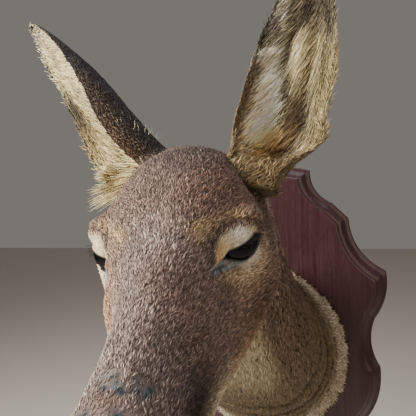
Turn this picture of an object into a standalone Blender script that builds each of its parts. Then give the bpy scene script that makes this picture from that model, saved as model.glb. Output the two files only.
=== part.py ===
"""A deer's head and neck mounted on a moulded shield board, as separate solids at life size.

Row frame: metres, +Z up. The back of the board is the plane Y = 0, against the wall, and the animal
looks out along -Y. X = 0 is the middle of the board, and Z = 0 is near the height of the widest
place of the neck's end. The head and neck are one loft of sections, parted into nodes by thin cuts. A
section is a closed curve round a line from the back of the animal (dorsal) to its underside (ventral).
"""

import math

import bmesh
import bpy
import numpy as np

MM = 0.001
GAP = 0.3  # mm, left between pieces that touch

# The head's own frame, in mm: the origin midway between the eyes, +X the animal's left, +Y towards the
# back of the head, +Z up, with the nostrils about level with the eyes.
HEAD_PLACE = (12.0, -392.0, 196.0)
HEAD_PITCH_DEG = 21.5  # nose down
HEAD_YAW_DEG = 10.0  # nose to the animal's left
HEAD_ROLL_DEG = -3.5

BOARD_THICKNESS = 22.0

EYE_RADIUS = 16.5
EYE_CENTRE = (39.5, -10.5, 5.0)
EYE_FACING_DEG = 36.0  # how far forward of straight out to the side
EYE_OPENING = (36.0, 16.0)  # corner to corner, and lid to lid
EYE_POINTS = 20  # round the opening
EYE_SEGMENTS, EYE_RINGS = 18, 10
EYE_SLANT_DEG = -4.0  # how far the line from front to rear corner climbs
EYE_CUT_DEPTHS = (6.0, 40.0)  # the opening between the lids is cut from and to here, out from the centre
EYE_CUT_FLARE = (0.96, 1.3)  # and its size there, as a share of the opening

# Head sections: dorsal (y, z), ventral (y, z), half width, height of the widest place as a share of the
# way up from the ventral point, then how square the upper and the lower half are (2 is an ellipse).
HEAD_SECTIONS = (
    ((-204, -8), (-203, -19), 12, 0.55, 2.0, 2.0),
    ((-201, 3), (-200, -29), 20, 0.55, 2.2, 2.0),
    ((-190, 12), (-188, -41), 25, 0.52, 2.3, 2.1),
    ((-170, 16), (-166, -51), 27, 0.50, 2.2, 2.3),
    ((-140, 18), (-132, -63), 26, 0.46, 2.1, 2.8),
    ((-108, 22), (-97, -75), 29, 0.44, 2.1, 3.0),
    ((-76, 28), (-61, -91), 35, 0.46, 2.1, 3.0),
    ((-42, 38), (-27, -105), 46, 0.52, 2.2, 2.8),
    ((-6, 46), (8, -114), 58, 0.57, 2.3, 2.5),
    ((28, 51), (39, -117), 65, 0.55, 2.2, 2.4),
    ((58, 53), (64, -114), 67, 0.53, 2.1, 2.3),
    ((88, 48), (84, -105), 67, 0.51, 2.0, 2.2),
    ((112, 39), (98, -96), 68, 0.51, 2.0, 2.1),
)
# Neck sections in the row frame, with the same columns, from behind the jaw to the board.
NECK_SECTIONS = (
    ((-256, 238), (-240, 92), 74, 0.47, 1.75, 2.0),
    ((-200, 202), (-200, 40), 79, 0.44, 1.7, 2.0),
    ((-142, 168), (-150, -18), 88, 0.42, 1.7, 2.1),
    ((-84, 137), (-94, -80), 101, 0.44, 1.75, 2.1),
    ((-22, 114), (-22, -136), 120, 0.49, 1.9, 2.05),
)
NECK_BEND = 1.5  # how the head's turn dies away along the neck: 1 evenly, more near the head

# Modelled swellings and hollows in the head's frame: centre, radii and height. Each one on the left (+X)
# has its mirror image on the right; one given on the right stands alone.
FORMS = (
    ((54, -2, 14), (14, 22, 9), 9.0),  # brow over the eye
    ((56, -5, 1), (15, 20, 14), 6.0),  # lids over the eyeball
    ((42, -39, -4), (13, 16, 13), -6.5),  # hollow before the eye
    ((58, 34, -16), (14, 36, 10), 3.0),  # cheekbone
    ((54, 56, 20), (16, 18, 14), -4.0),  # temple
    ((46, 46, -62), (18, 36, 30), 5.0),  # cheek muscle
    ((62, 20, -42), (18, 34, 30), 8.0),  # upper cheek
    ((-42, -39, -4), (13, 16, 13), 4.0),  # shallower hollow before the right eye
    ((-55, -4, 14), (13, 16, 12), 2.5),  # fuller brow over the right eye
    ((-30, -52, -14), (16, 20, 16), 2.5),  # fuller right cheek below the eye
    ((-27, -104, 2), (16, 30, 24), -8.0),  # flatter right flank of the muzzle
    ((24, -186, -4), (9, 11, 9), 3.0),  # wing of the nostril
    ((0, -116, 24), (12, 50, 12), 1.5),  # ridge of the nose
)
NOSTRILS = ((18, -197, -6), (5.5, 7, 5), -5.0)

# Where the loft is cut, as shares of the body's length from the nose.
NOSE_BACK = 0.052
MUZZLE_BACK = 0.24
HEAD_BACK = 0.535
CUT_SLANT = 1.3  # the gap along the body over the gap across a cut
MOUTH_ANGLE_DEG = 116.0  # from the dorsal line round to the mouth

# Facets of the body: columns round it, and rows along each piece.
BODY_COLUMNS = 42
UPPER_COLUMNS, LOWER_COLUMNS = 30, 18  # round the upper muzzle and round the jaw
BODY_ROWS = {"nose": 5, "muzzle": 11, "head": 20, "neck": 15}
NOSE_CROWDING = 1.4  # how much closer the rows lie to the nose's tip
SHARP_EDGE_DEG = 50.0

# Each ear: base in the head's frame, then where the tip points and where the opening faces, in the row
# frame, and how much further than EAR_SHAPE it is cupped.
EARS = {
    "ear_left": ((73, 98, 18), (0.175, 0.27, 0.95), (0.05, -0.95, 0.10), 1.0),
    "ear_right": ((-30, 104, 32), (-0.70, 0.10, 0.715), (-0.80, -0.60, -0.10), 1.25),
}
EAR_LENGTH = 206.0
EAR_ROOT = 26.0  # how far the ear's tube goes on inside the head's outline
# Up the ear: share of its length, half width, and half the angle that the cupped blade wraps round.
EAR_SHAPE = (
    (0, 23, 125), (0.1, 30, 104), (0.25, 35, 82), (0.45, 35, 66), (0.65, 30, 56), (0.85, 19, 46), (1, 3, 34),
)
EAR_WALL = 5.0  # at the base
EAR_TIP_WALL = 0.45  # as a share of that
EAR_LEAN = -10.0  # how far the middle of the blade bows forward of its ends
EAR_BEND = 10.0  # how far the base of the ear is drawn in towards the middle plane
EAR_BEND_SHARE = 0.25  # of its length, over which that dies away
EAR_FLARE = 16.0  # how far the outer edge spreads near the base
EAR_FLARE_PLACE, EAR_FLARE_SPREAD = 0.06, 0.09  # where that is most and over how much, as shares of length
EAR_ROWS = 19
EAR_COLUMNS = 11
EAR_SEAT_ROWS = 26  # of the body that the ears are cut back to
EAR_SEAT_BACK = 0.12  # how far behind the head it reaches, as a share of the body's length

# The board's outline from the middle of its top round the animal's left to the bottom point, in mm:
# (x, z) corners, and between them the bulge of the arc, outward positive, as a share of the chord.
BOARD_OUTLINE = (
    ((0, 262), 0.04), ((74, 254), -0.16), ((104, 205), 0.0), ((127, 182), -0.14), ((176, 106), 0.10),
    ((160, 38), -0.12), ((166, -34), 0.14), ((118, -138), 0.09), ((0, -232), 0.0),
)
BOARD_ARC_STEPS = 5
# The moulded edge: how far in from the outline, and height over the wall side.
BOARD_MOULDING = ((1.5, 0.0), (0.0, 1.5), (0.0, 6.0), (2.5, 8.5), (4.5, 9.0), (7.5, 12.0), (12.0, 17.5),
                  (14.5, 18.5), (16.5, 21.0), (18.5, 22.0))


def turn(axis, degrees):
    """Rotation matrix about X, Y or Z (0, 1 or 2)."""
    c, s = math.cos(math.radians(degrees)), math.sin(math.radians(degrees))
    matrix = np.eye(3)
    a, b = (axis + 1) % 3, (axis + 2) % 3
    matrix[[a, b], [a, b]] = c
    matrix[a, b], matrix[b, a] = -s, s
    return matrix


def unit(vector):
    """The vector at length one."""
    vector = np.asarray(vector, float)
    return vector / np.linalg.norm(vector)


def head_axes():
    """The head's X, Y and Z axes in the row frame, as the columns of a matrix."""
    return turn(2, HEAD_YAW_DEG) @ turn(0, HEAD_PITCH_DEG) @ turn(1, HEAD_ROLL_DEG)


def from_head(points):
    """Carry points from the head's frame to the row frame, in mm."""
    return np.asarray(points, float) @ head_axes().T + np.array(HEAD_PLACE)


def to_head(points):
    """Carry points from the row frame to the head's frame, in mm."""
    return (np.asarray(points, float) - np.array(HEAD_PLACE)) @ head_axes()


def smooth_through(knots, values, at):
    """Cubic curve through the values, its slope at each knot the mean of the slopes on both sides."""
    knots, values = np.asarray(knots, float), np.asarray(values, float)
    steps = np.diff(knots)[:, None]
    slopes = np.diff(values, axis=0) / steps
    inner = (slopes[1:] * steps[:-1] + slopes[:-1] * steps[1:]) / (steps[1:] + steps[:-1])
    tangents = np.vstack([slopes[:1], inner, slopes[-1:]])
    i = np.clip(np.searchsorted(knots, at, side="right") - 1, 0, len(knots) - 2)
    h = steps[i]
    t = ((at - knots[i]) / h[:, 0])[:, None]
    return ((2 * t**3 - 3 * t**2 + 1) * values[i] + (t**3 - 2 * t**2 + t) * h * tangents[i]
            + (3 * t**2 - 2 * t**3) * values[i + 1] + (t**3 - t**2) * h * tangents[i + 1])


def body_frame():
    """Shares of the body's length at its sections, and each section's two ends, lateral axis and shape."""
    rows = []
    lateral = head_axes()[:, 0]
    for dorsal, ventral, *shape in HEAD_SECTIONS:
        ends = from_head([(0, *dorsal), (0, *ventral)])
        rows.append(np.concatenate([ends[0], ends[1], lateral, shape]))
    last = (rows[-1][0:3] + rows[-1][3:6]) / 2
    for dorsal, ventral, *shape in NECK_SECTIONS:
        reach = ((dorsal[0] + ventral[0]) / 2 + BOARD_THICKNESS) / (last[1] + BOARD_THICKNESS)
        x = last[0] * reach
        across = unit((1 - reach**NECK_BEND) * np.array([1.0, 0, 0]) + reach**NECK_BEND * lateral)
        rows.append(np.concatenate([(x, *dorsal), (x, *ventral), across, shape]))
    rows = np.array(rows)
    middles = (rows[:, 0:3] + rows[:, 3:6]) / 2
    lengths = np.linalg.norm(np.diff(middles, axis=0), axis=1)
    knots = np.concatenate([[0], np.cumsum(lengths)])
    return knots / knots[-1], rows


def body_points(shares, angles, grow=0.0):
    """Points of the body in mm, one row for each share of its length and one column for each angle.

    A point is the section's middle plus the lateral axis times the half width times sin(angle) and plus
    the dorsal or ventral arm times cos(angle), each raised to two over the section's squareness. Then the
    swellings push it away from the middle, and grow makes the section larger all round.
    """
    knots, rows = body_frame()
    values = smooth_through(knots, rows, np.asarray(shares, float))
    dorsal, ventral = values[:, None, 0:3], values[:, None, 3:6]
    lateral = values[:, None, 6:9] / np.linalg.norm(values[:, None, 6:9], axis=2, keepdims=True)
    half, share, upper, lower = (values[:, 9 + k, None, None] for k in range(4))
    angles = np.broadcast_to(np.asarray(angles, float), (len(values), np.shape(angles)[-1]))[..., None]
    middle = ventral + share * (dorsal - ventral)
    cos, sin = np.cos(angles), np.sin(angles)
    power = 2 / np.where(cos >= 0, upper, lower)
    arm = np.where(cos >= 0, dorsal - middle, ventral - middle)
    length = np.linalg.norm(arm, axis=2, keepdims=True)
    out = arm / length * (length + grow) * np.abs(cos) ** power
    out = out + lateral * (half + grow) * np.sign(sin) * np.abs(sin) ** power
    points = middle + out
    direction = out / np.maximum(np.linalg.norm(out, axis=2, keepdims=True), 1e-9)
    in_head = to_head(points)
    push = np.zeros(points.shape[:2])
    for centre, radii, height in FORMS + (NOSTRILS,):
        for side in ((1, -1) if centre[0] > 0 else (1,)):
            place = np.array([centre[0] * side, centre[1], centre[2]])
            push += height * np.exp(-np.sum(((in_head - place) / np.array(radii)) ** 2, axis=2))
    return points + direction * push[..., None]


def lofted(name, rings, material):
    """Closed mesh object through rings of points in mm, each a row, with a flat end on the first and last."""
    rows, columns = rings.shape[:2]
    bm = bmesh.new()
    grid = [[bm.verts.new(point * MM) for point in ring] for ring in rings]
    for a, b in zip(grid[:-1], grid[1:]):
        for k in range(columns):
            bm.faces.new((a[k], a[k - 1], b[k - 1], b[k]))
    bm.faces.new(grid[0])
    bm.faces.new(reversed(grid[-1]))
    bmesh.ops.recalc_face_normals(bm, faces=bm.faces)
    bmesh.ops.triangulate(bm, faces=bm.faces)
    mesh = bpy.data.meshes.new(name)
    bm.to_mesh(mesh)
    bm.free()
    mesh.shade_smooth()
    mesh.set_sharp_from_angle(angle=math.radians(SHARP_EDGE_DEG))
    mesh.materials.append(material)
    return bpy.data.objects.new(name, mesh)


def finish(name, colour, roughness, metallic=0.0):
    """A Principled material with an sRGB colour given as a hex string."""
    material = bpy.data.materials.new(name)
    material.use_nodes = True
    shader = material.node_tree.nodes["Principled BSDF"]
    channels = [int(colour[k:k + 2], 16) / 255 for k in (0, 2, 4)]
    linear = [c / 12.92 if c <= 0.04045 else ((c + 0.055) / 1.055) ** 2.4 for c in channels]
    shader.inputs["Base Color"].default_value = (*linear, 1)
    shader.inputs["Roughness"].default_value = roughness
    shader.inputs["Metallic"].default_value = metallic
    return material


def collection(name):
    """A new collection in the scene."""
    group = bpy.data.collections.new(name)
    bpy.context.scene.collection.children.link(group)
    return group


def cut(target, cutter, tools):
    """Take one mesh object away from another with an exact Boolean modifier."""
    cutter.hide_render = True
    cutter.display_type = "WIRE"
    if cutter.name not in tools.objects:
        tools.objects.link(cutter)
    modifier = target.modifiers.new("cut_" + cutter.name, "BOOLEAN")
    modifier.operation = "DIFFERENCE"
    modifier.solver = "EXACT"
    modifier.object = cutter


def full_angles():
    """Angles all the way round a section."""
    return np.linspace(0, 2 * math.pi, BODY_COLUMNS, endpoint=False)


def gap_share():
    """The share of the body's length that parts two pieces by a gap, with the slant of the cuts allowed."""
    rows = body_frame()[1]
    length = np.sum(np.linalg.norm(np.diff((rows[:, 0:3] + rows[:, 3:6]) / 2, axis=0), axis=1))
    return CUT_SLANT * GAP / length


def make_nose(material):
    """The front of the upper lip with the bare pad and nostrils, its front end closed by a small flat."""
    shares = np.linspace(0, 1, BODY_ROWS["nose"]) ** NOSE_CROWDING * NOSE_BACK
    return lofted("nose", body_points(shares, full_angles()), material)


def make_muzzle_and_jaw(fur):
    """Upper muzzle and lower jaw: the same stretch of the loft, parted along a flat through the mouth."""
    step = gap_share()
    shares = np.linspace(NOSE_BACK + step, MUZZLE_BACK - step, BODY_ROWS["muzzle"])
    mouth = math.radians(MOUTH_ANGLE_DEG)
    upper = body_points(shares, np.linspace(-mouth, mouth, UPPER_COLUMNS))
    lower = body_points(shares, np.linspace(mouth, 2 * math.pi - mouth, LOWER_COLUMNS))
    down = -head_axes()[:, 2]
    lower = lower + down * GAP
    return [lofted("muzzle", upper, fur), lofted("lower_jaw", lower, fur)]


def make_head_and_neck(fur):
    """The head behind the muzzle cut and the neck down to the board."""
    head = body_points(np.linspace(MUZZLE_BACK, HEAD_BACK, BODY_ROWS["head"]), full_angles())
    neck_shares = np.linspace(HEAD_BACK + gap_share(), 1.0, BODY_ROWS["neck"])
    neck = body_points(neck_shares, full_angles())
    neck[-1, :, 1] = -BOARD_THICKNESS - GAP
    return [lofted("head", head, fur), lofted("neck", neck, fur)]


def eye_axes(side):
    """Axes of one eye's opening in the row frame: along the opening, up across it, and out of it."""
    facing, slant = math.radians(EYE_FACING_DEG), math.radians(EYE_SLANT_DEG)
    out = np.array([math.cos(facing), -math.sin(facing), 0])
    back = np.array([math.sin(facing) * math.cos(slant), math.cos(facing) * math.cos(slant), math.sin(slant)])
    up = np.cross(out, back)
    mirror = np.array([side, 1, 1])
    return [head_axes() @ (axis * mirror) for axis in (back, up, out)]


def sphere(name, centre, radius):
    """A smooth sphere primitive, in no collection yet."""
    bpy.ops.mesh.primitive_uv_sphere_add(
        segments=EYE_SEGMENTS, ring_count=EYE_RINGS, radius=radius * MM, location=centre * MM)
    ball = bpy.context.object
    ball.name = ball.data.name = name
    ball.data.shade_smooth()
    for group in list(ball.users_collection):
        group.objects.unlink(ball)
    return ball


def make_eye(name, side, head, glass, tools):
    """Glass eyeball in a socket one gap larger, seen through an almond opening between the lids."""
    centre = from_head(np.array(EYE_CENTRE) * (side, 1, 1))
    ball = sphere(name, centre, EYE_RADIUS)
    ball.data.materials.append(glass)
    cut(head, sphere(name + "_socket", centre, EYE_RADIUS + GAP), tools)
    back, up, out = eye_axes(side)
    angles = np.linspace(0, 2 * math.pi, EYE_POINTS, endpoint=False)
    almond = (np.cos(angles)[:, None] * back * EYE_OPENING[0] / 2
              + (np.sin(angles) * np.abs(np.sin(angles)) ** 0.25)[:, None] * up * EYE_OPENING[1] / 2)
    depths = np.array(EYE_CUT_DEPTHS)[:, None, None]
    flare = np.array(EYE_CUT_FLARE)[:, None, None]
    opening = lofted(name + "_opening", centre + almond * flare + out * depths, glass)
    cut(head, opening, tools)
    return ball


def ear_frame(name):
    """One ear's base point and axes in the row frame: along to the tip, across, and out of the opening."""
    base, tip, facing, _ = EARS[name]
    along = unit(tip)
    out = unit(np.array(facing) - along * np.dot(facing, along))
    return from_head(base), along, np.cross(along, out), out


def ear_rings(name):
    """Rings of one cupped ear, from the tube inside the head to the tip, each inner wall then outer wall.

    Across the blade lies an arc of a circle: its half width and the angle it wraps follow EAR_SHAPE, from
    a near tube at the base to a shallow dish at the tip. The wall thins to the tip.
    """
    origin, along, across, out = ear_frame(name)
    way = np.linspace(0, 1, EAR_ROWS)[:, None]
    distance = -EAR_ROOT + way * (EAR_LENGTH + EAR_ROOT)
    reach = np.clip(distance / EAR_LENGTH, 0, 1)
    shape = smooth_through([row[0] for row in EAR_SHAPE], [row[1:] for row in EAR_SHAPE], reach[:, 0])
    curl = np.radians(shape[:, 1:2] * (1 + (EARS[name][3] - 1) * np.sin(math.pi * reach)))
    radius = shape[:, 0:1] / np.sin(np.minimum(curl, math.pi / 2))
    wall = EAR_WALL * (1 - (1 - EAR_TIP_WALL) * reach)
    side = np.linspace(-1, 1, EAR_COLUMNS)[None, :]
    turned = side * curl
    lean = EAR_LEAN * np.sin(math.pi * reach)
    bend = EAR_BEND * np.maximum(0, 1 - distance / (EAR_BEND_SHARE * EAR_LENGTH)) ** 1.5
    hand = np.sign(EARS[name][0][0])
    origin = origin - hand * head_axes()[:, 0] * bend[..., None]
    flare = hand * EAR_FLARE * np.exp(-(((distance / EAR_LENGTH - EAR_FLARE_PLACE) / EAR_FLARE_SPREAD) ** 2))
    flare = flare * np.maximum(side * hand, 0) ** 2

    def wall_points(offset):
        sideways = (radius + offset) * np.sin(turned) + flare
        forward = (radius - (radius + offset) * np.cos(turned)) + lean
        return (origin + along * distance[..., None] + across * sideways[..., None]
                + out * forward[..., None])

    inner = wall_points(-wall / 2)
    outer = wall_points(wall / 2)
    return np.concatenate([inner, outer[:, ::-1]], axis=1)


def make_ear(name, fur, tools):
    """A cupped ear, cut back to one gap outside the head and neck."""
    ear = lofted(name, ear_rings(name), fur)
    shares = np.linspace(MUZZLE_BACK, HEAD_BACK + EAR_SEAT_BACK, EAR_SEAT_ROWS)
    grown = lofted(name + "_seat", body_points(shares, full_angles(), GAP), fur)
    cut(ear, grown, tools)
    return ear


def board_outline():
    """The board's outline in mm as (x, z) points, right half from its arcs and the left half its mirror."""
    half = []
    for (start, bulge), (end, _) in zip(BOARD_OUTLINE[:-1], BOARD_OUTLINE[1:]):
        start, end = np.array(start, float), np.array(end, float)
        chord = end - start
        normal = np.array([-chord[1], chord[0]])
        t = np.linspace(0, 1, BOARD_ARC_STEPS, endpoint=False)[:, None]
        half.append(start + chord * t + normal * bulge * 4 * t * (1 - t))
    half = np.vstack(half + [np.array([BOARD_OUTLINE[-1][0]], float)])
    return np.vstack([half, (half * (-1, 1))[-2:0:-1]])


def inward(outline, distance):
    """The outline moved in by a distance, each point along the mean of its two edges' normals."""
    ahead = np.roll(outline, -1, axis=0) - outline
    behind = outline - np.roll(outline, 1, axis=0)
    tangent = ahead / np.linalg.norm(ahead, axis=1, keepdims=True)
    tangent = tangent + behind / np.linalg.norm(behind, axis=1, keepdims=True)
    tangent = tangent / np.linalg.norm(tangent, axis=1, keepdims=True)
    return outline + np.stack([tangent[:, 1], -tangent[:, 0]], axis=1) * distance


def make_board(wood):
    """The shield board: its outline carried through the moulding's steps, flat at the back and the front."""
    outline = board_outline()
    rings = []
    for distance, height in BOARD_MOULDING:
        ring = inward(outline, distance)
        rings.append(np.stack([ring[:, 0], np.full(len(ring), -height), ring[:, 1]], axis=1))
    return lofted("board", np.array(rings), wood)


def build():
    """Clear the scene and make every piece."""
    for old in list(bpy.data.objects):
        bpy.data.objects.remove(old, do_unlink=True)
    parts, tools = collection("deer_mount"), collection("cutters")
    fur = finish("deer_coat", "6b564c", 0.9)
    pale = finish("ear_coat", "8a7a66", 0.9)
    pad = finish("nose_leather", "24262b", 0.45)
    glass = finish("eye_glass", "0d0c0e", 0.05)
    wood = finish("stained_wood", "4a2c30", 0.35)
    head, neck = make_head_and_neck(fur)
    pieces = [make_board(wood), neck, head, make_nose(pad), *make_muzzle_and_jaw(fur)]
    pieces.append(make_eye("eye_left", 1, head, glass, tools))
    pieces.append(make_eye("eye_right", -1, head, glass, tools))
    for name in EARS:
        pieces.append(make_ear(name, pale, tools))
    for piece in pieces:
        parts.objects.link(piece)


build()
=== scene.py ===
"""A deer's head and neck on a moulded shield board: hide, coat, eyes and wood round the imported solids.

Row frame: +Z up, the board's back on the plane Y = 0, the animal looking out along -Y. Shapes are worked
out in millimetres. Points of the body are given by two numbers: the share of the body's length from nose
to board, and the angle round the section from the back of the animal (0) towards its left (positive).
"""

import itertools
import math

import bpy
import numpy as np
from mathutils import Matrix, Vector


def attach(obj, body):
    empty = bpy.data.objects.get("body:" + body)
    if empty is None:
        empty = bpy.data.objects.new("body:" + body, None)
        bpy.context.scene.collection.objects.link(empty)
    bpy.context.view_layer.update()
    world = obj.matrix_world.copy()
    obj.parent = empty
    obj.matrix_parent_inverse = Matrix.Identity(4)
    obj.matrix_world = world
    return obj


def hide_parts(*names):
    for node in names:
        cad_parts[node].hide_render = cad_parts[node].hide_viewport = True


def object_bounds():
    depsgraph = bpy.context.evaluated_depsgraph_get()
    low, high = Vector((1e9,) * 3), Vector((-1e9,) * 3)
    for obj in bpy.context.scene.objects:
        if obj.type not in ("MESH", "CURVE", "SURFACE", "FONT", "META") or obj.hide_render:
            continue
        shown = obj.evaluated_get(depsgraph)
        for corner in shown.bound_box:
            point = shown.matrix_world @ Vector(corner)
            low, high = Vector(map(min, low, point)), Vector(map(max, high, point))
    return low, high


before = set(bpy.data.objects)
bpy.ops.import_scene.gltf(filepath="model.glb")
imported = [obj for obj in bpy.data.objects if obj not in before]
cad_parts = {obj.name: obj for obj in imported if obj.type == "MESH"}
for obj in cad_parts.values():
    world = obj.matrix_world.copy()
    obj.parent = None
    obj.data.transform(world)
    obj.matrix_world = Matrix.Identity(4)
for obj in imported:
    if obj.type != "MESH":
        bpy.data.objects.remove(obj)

cad_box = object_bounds()
MM = 0.001
RANDOM = np.random.default_rng(7)

# The head's own frame: the origin midway between the eyes, +X the animal's left, +Y to the back, +Z up.
HEAD_PLACE = (12.0, -392.0, 196.0)
HEAD_PITCH_DEG, HEAD_YAW_DEG, HEAD_ROLL_DEG = 21.5, 10.0, -3.5
BOARD_THICKNESS = 22.0

EYE_RADIUS = 16.0  # of the glass, a little smaller than the socket
EYE_CENTRE = (39.5, -10.5, 5.0)  # of the left one, in the head's frame
EYE_FACING_DEG = 36.0  # how far it looks forward from straight out to the side
EYE_SLANT_DEG = -4.0  # tilt of its opening

# Head sections: dorsal (y, z), ventral (y, z), half width, height of the widest place as a share of the
# way up from the ventral point, then how square the upper and the lower half are (2 is an ellipse).
HEAD_SECTIONS = (
    ((-204, -8), (-203, -19), 12, 0.55, 2.0, 2.0),
    ((-201, 3), (-200, -29), 20, 0.55, 2.2, 2.0),
    ((-190, 12), (-188, -41), 25, 0.52, 2.3, 2.1),
    ((-170, 16), (-166, -51), 27, 0.50, 2.2, 2.3),
    ((-140, 18), (-132, -63), 26, 0.46, 2.1, 2.8),
    ((-108, 22), (-97, -75), 29, 0.44, 2.1, 3.0),
    ((-76, 28), (-61, -91), 35, 0.46, 2.1, 3.0),
    ((-42, 38), (-27, -105), 46, 0.52, 2.2, 2.8),
    ((-6, 46), (8, -114), 58, 0.57, 2.3, 2.5),
    ((28, 51), (39, -117), 65, 0.55, 2.2, 2.4),
    ((58, 53), (64, -114), 67, 0.53, 2.1, 2.3),
    ((88, 48), (84, -105), 67, 0.51, 2.0, 2.2),
    ((112, 39), (98, -96), 68, 0.51, 2.0, 2.1),
)
# Neck sections in the row frame, with the same columns, from behind the jaw to the board.
NECK_SECTIONS = (
    ((-256, 238), (-240, 92), 74, 0.47, 1.75, 2.0),
    ((-200, 202), (-200, 40), 79, 0.44, 1.7, 2.0),
    ((-142, 168), (-150, -18), 88, 0.42, 1.7, 2.1),
    ((-84, 137), (-94, -80), 101, 0.44, 1.75, 2.1),
    ((-22, 114), (-22, -136), 120, 0.49, 1.9, 2.05),
)
NECK_BEND = 1.5  # power by which the sections turn from the head's tilt to level at the board
# Swellings and hollows in the head's frame: centre, radii and height. One on the left (+X) has its mirror
# image on the right, and one given on the right stands alone.
FORMS = (
    ((54, -2, 14), (14, 22, 9), 9.0),
    ((56, -5, 1), (15, 20, 14), 6.0),
    ((42, -39, -4), (13, 16, 13), -6.5),
    ((58, 34, -16), (14, 36, 10), 3.0),
    ((54, 56, 20), (16, 18, 14), -4.0),
    ((46, 46, -62), (18, 36, 30), 5.0),
    ((62, 20, -42), (18, 34, 30), 8.0),
    ((-42, -39, -4), (13, 16, 13), 4.0),
    ((-55, -4, 14), (13, 16, 12), 1.5),
    ((-30, -52, -14), (16, 20, 16), 3.5),
    ((-27, -104, 2), (16, 30, 24), -8.0),
    ((24, -186, -4), (9, 11, 9), 3.0),
    ((0, -116, 24), (12, 50, 12), 1.5),
    ((18, -197, -6), (5.5, 7, 5), -5.0),
)
MOUTH_ANGLE = math.radians(116)
# Depth of the coat over the skin, by share of the body's length: bare on the nose, deepest on the neck.
COAT_SHARES = (0.0, 0.04, 0.07, 0.15, 0.30, 0.45, 0.60, 1.0)
COAT_DEPTHS = (0.8, 0.6, 1.2, 1.8, 2.6, 3.6, 5.0, 5.5)

# Base in the head's frame, ways to the tip and out of the opening, and how much more the middle curls.
EARS = {
    "ear_left": ((73, 98, 18), (0.175, 0.27, 0.95), (0.05, -0.95, 0.10), 1.0),
    "ear_right": ((-30, 104, 32), (-0.70, 0.10, 0.715), (-0.80, -0.60, -0.10), 1.25),
}
EAR_LENGTH = 206.0
EAR_ROOT = 26.0  # length of its foot inside the head
# Share of the length, half width, and the angle in degrees that the blade wraps to each side.
EAR_SHAPE = (
    (0, 23, 125), (0.1, 30, 104), (0.25, 35, 82), (0.45, 35, 66), (0.65, 30, 56), (0.85, 19, 46), (1, 3, 34),
)
EAR_WALL = 2.4  # thickness at the base
EAR_TIP_COAT = 7.0  # of the length, left to the hair at the tip
EAR_LEAN = -10.0  # how far the middle of the blade lies back
EAR_BEND, EAR_BEND_SHARE = 10.0, 0.25  # shift of the foot to the head's middle, and where it ends
EAR_FLARE, EAR_FLARE_PLACE, EAR_FLARE_SPREAD = 16.0, 0.06, 0.09  # of the outer edge near the base
EAR_ROWS, EAR_COLUMNS = 90, 36

# Corners of the right half as (x, z), and how far the edge to the next one bows, as a share of its length.
BOARD_OUTLINE = (
    ((0, 262), 0.04), ((74, 254), -0.16), ((104, 205), 0.0), ((127, 182), -0.14), ((176, 106), 0.10),
    ((160, 38), -0.12), ((166, -34), 0.14), ((118, -138), 0.09), ((0, -232), 0.0),
)
BOARD_ARC_STEPS = 18
# The moulding from the back to the face: distance in from the outline, and height off the wall.
BOARD_MOULDING = (
    (3.0, 0.0), (1.5, 0.0), (0.35, 0.5), (0.0, 1.5), (0.0, 3.8), (0.0, 6.0), (0.5, 7.3), (1.6, 8.3),
    (3.2, 8.9), (4.6, 9.3), (5.6, 10.0), (7.2, 11.7), (8.8, 13.7), (10.4, 15.6), (12.0, 17.1),
    (13.6, 18.1), (14.9, 18.6), (15.6, 19.2), (16.2, 20.3), (17.1, 21.3), (18.5, 21.9), (20.5, 22.0),
)

BODY_ROWS, BODY_COLUMNS = 288, 270
BODY_MAP_WIDTH = 0.60  # of the body's unwrap on the bake map; the ears lie beside it


# ---- Shapes of the solids, worked out again on a finer grid ----

def turn(axis, degrees):
    """Rotation matrix about X, Y or Z (0, 1 or 2)."""
    c, s = math.cos(math.radians(degrees)), math.sin(math.radians(degrees))
    matrix = np.eye(3)
    a, b = (axis + 1) % 3, (axis + 2) % 3
    matrix[[a, b], [a, b]] = c
    matrix[a, b], matrix[b, a] = -s, s
    return matrix


def unit(vectors):
    """Vectors at length one, along the last axis."""
    vectors = np.asarray(vectors, float)
    return vectors / np.maximum(np.linalg.norm(vectors, axis=-1, keepdims=True), 1e-9)


HEAD_AXES = turn(2, HEAD_YAW_DEG) @ turn(0, HEAD_PITCH_DEG) @ turn(1, HEAD_ROLL_DEG)


def from_head(points):
    """Carry points from the head's frame to the row frame."""
    return np.asarray(points, float) @ HEAD_AXES.T + np.array(HEAD_PLACE)


def to_head(points):
    """Carry points from the row frame to the head's frame."""
    return (np.asarray(points, float) - np.array(HEAD_PLACE)) @ HEAD_AXES


def smooth_through(knots, values, at):
    """Cubic curve through the values.

    Its slope at a knot is the mean of the slopes on both sides, in which the shorter side counts more.
    """
    knots, values = np.asarray(knots, float), np.asarray(values, float)
    steps = np.diff(knots)[:, None]
    slopes = np.diff(values, axis=0) / steps
    inner = (slopes[1:] * steps[:-1] + slopes[:-1] * steps[1:]) / (steps[1:] + steps[:-1])
    tangents = np.vstack([slopes[:1], inner, slopes[-1:]])
    i = np.clip(np.searchsorted(knots, at, side="right") - 1, 0, len(knots) - 2)
    h = steps[i]
    t = ((at - knots[i]) / h[:, 0])[:, None]
    return ((2 * t**3 - 3 * t**2 + 1) * values[i] + (t**3 - 2 * t**2 + t) * h * tangents[i]
            + (3 * t**2 - 2 * t**3) * values[i + 1] + (t**3 - t**2) * h * tangents[i + 1])


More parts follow.
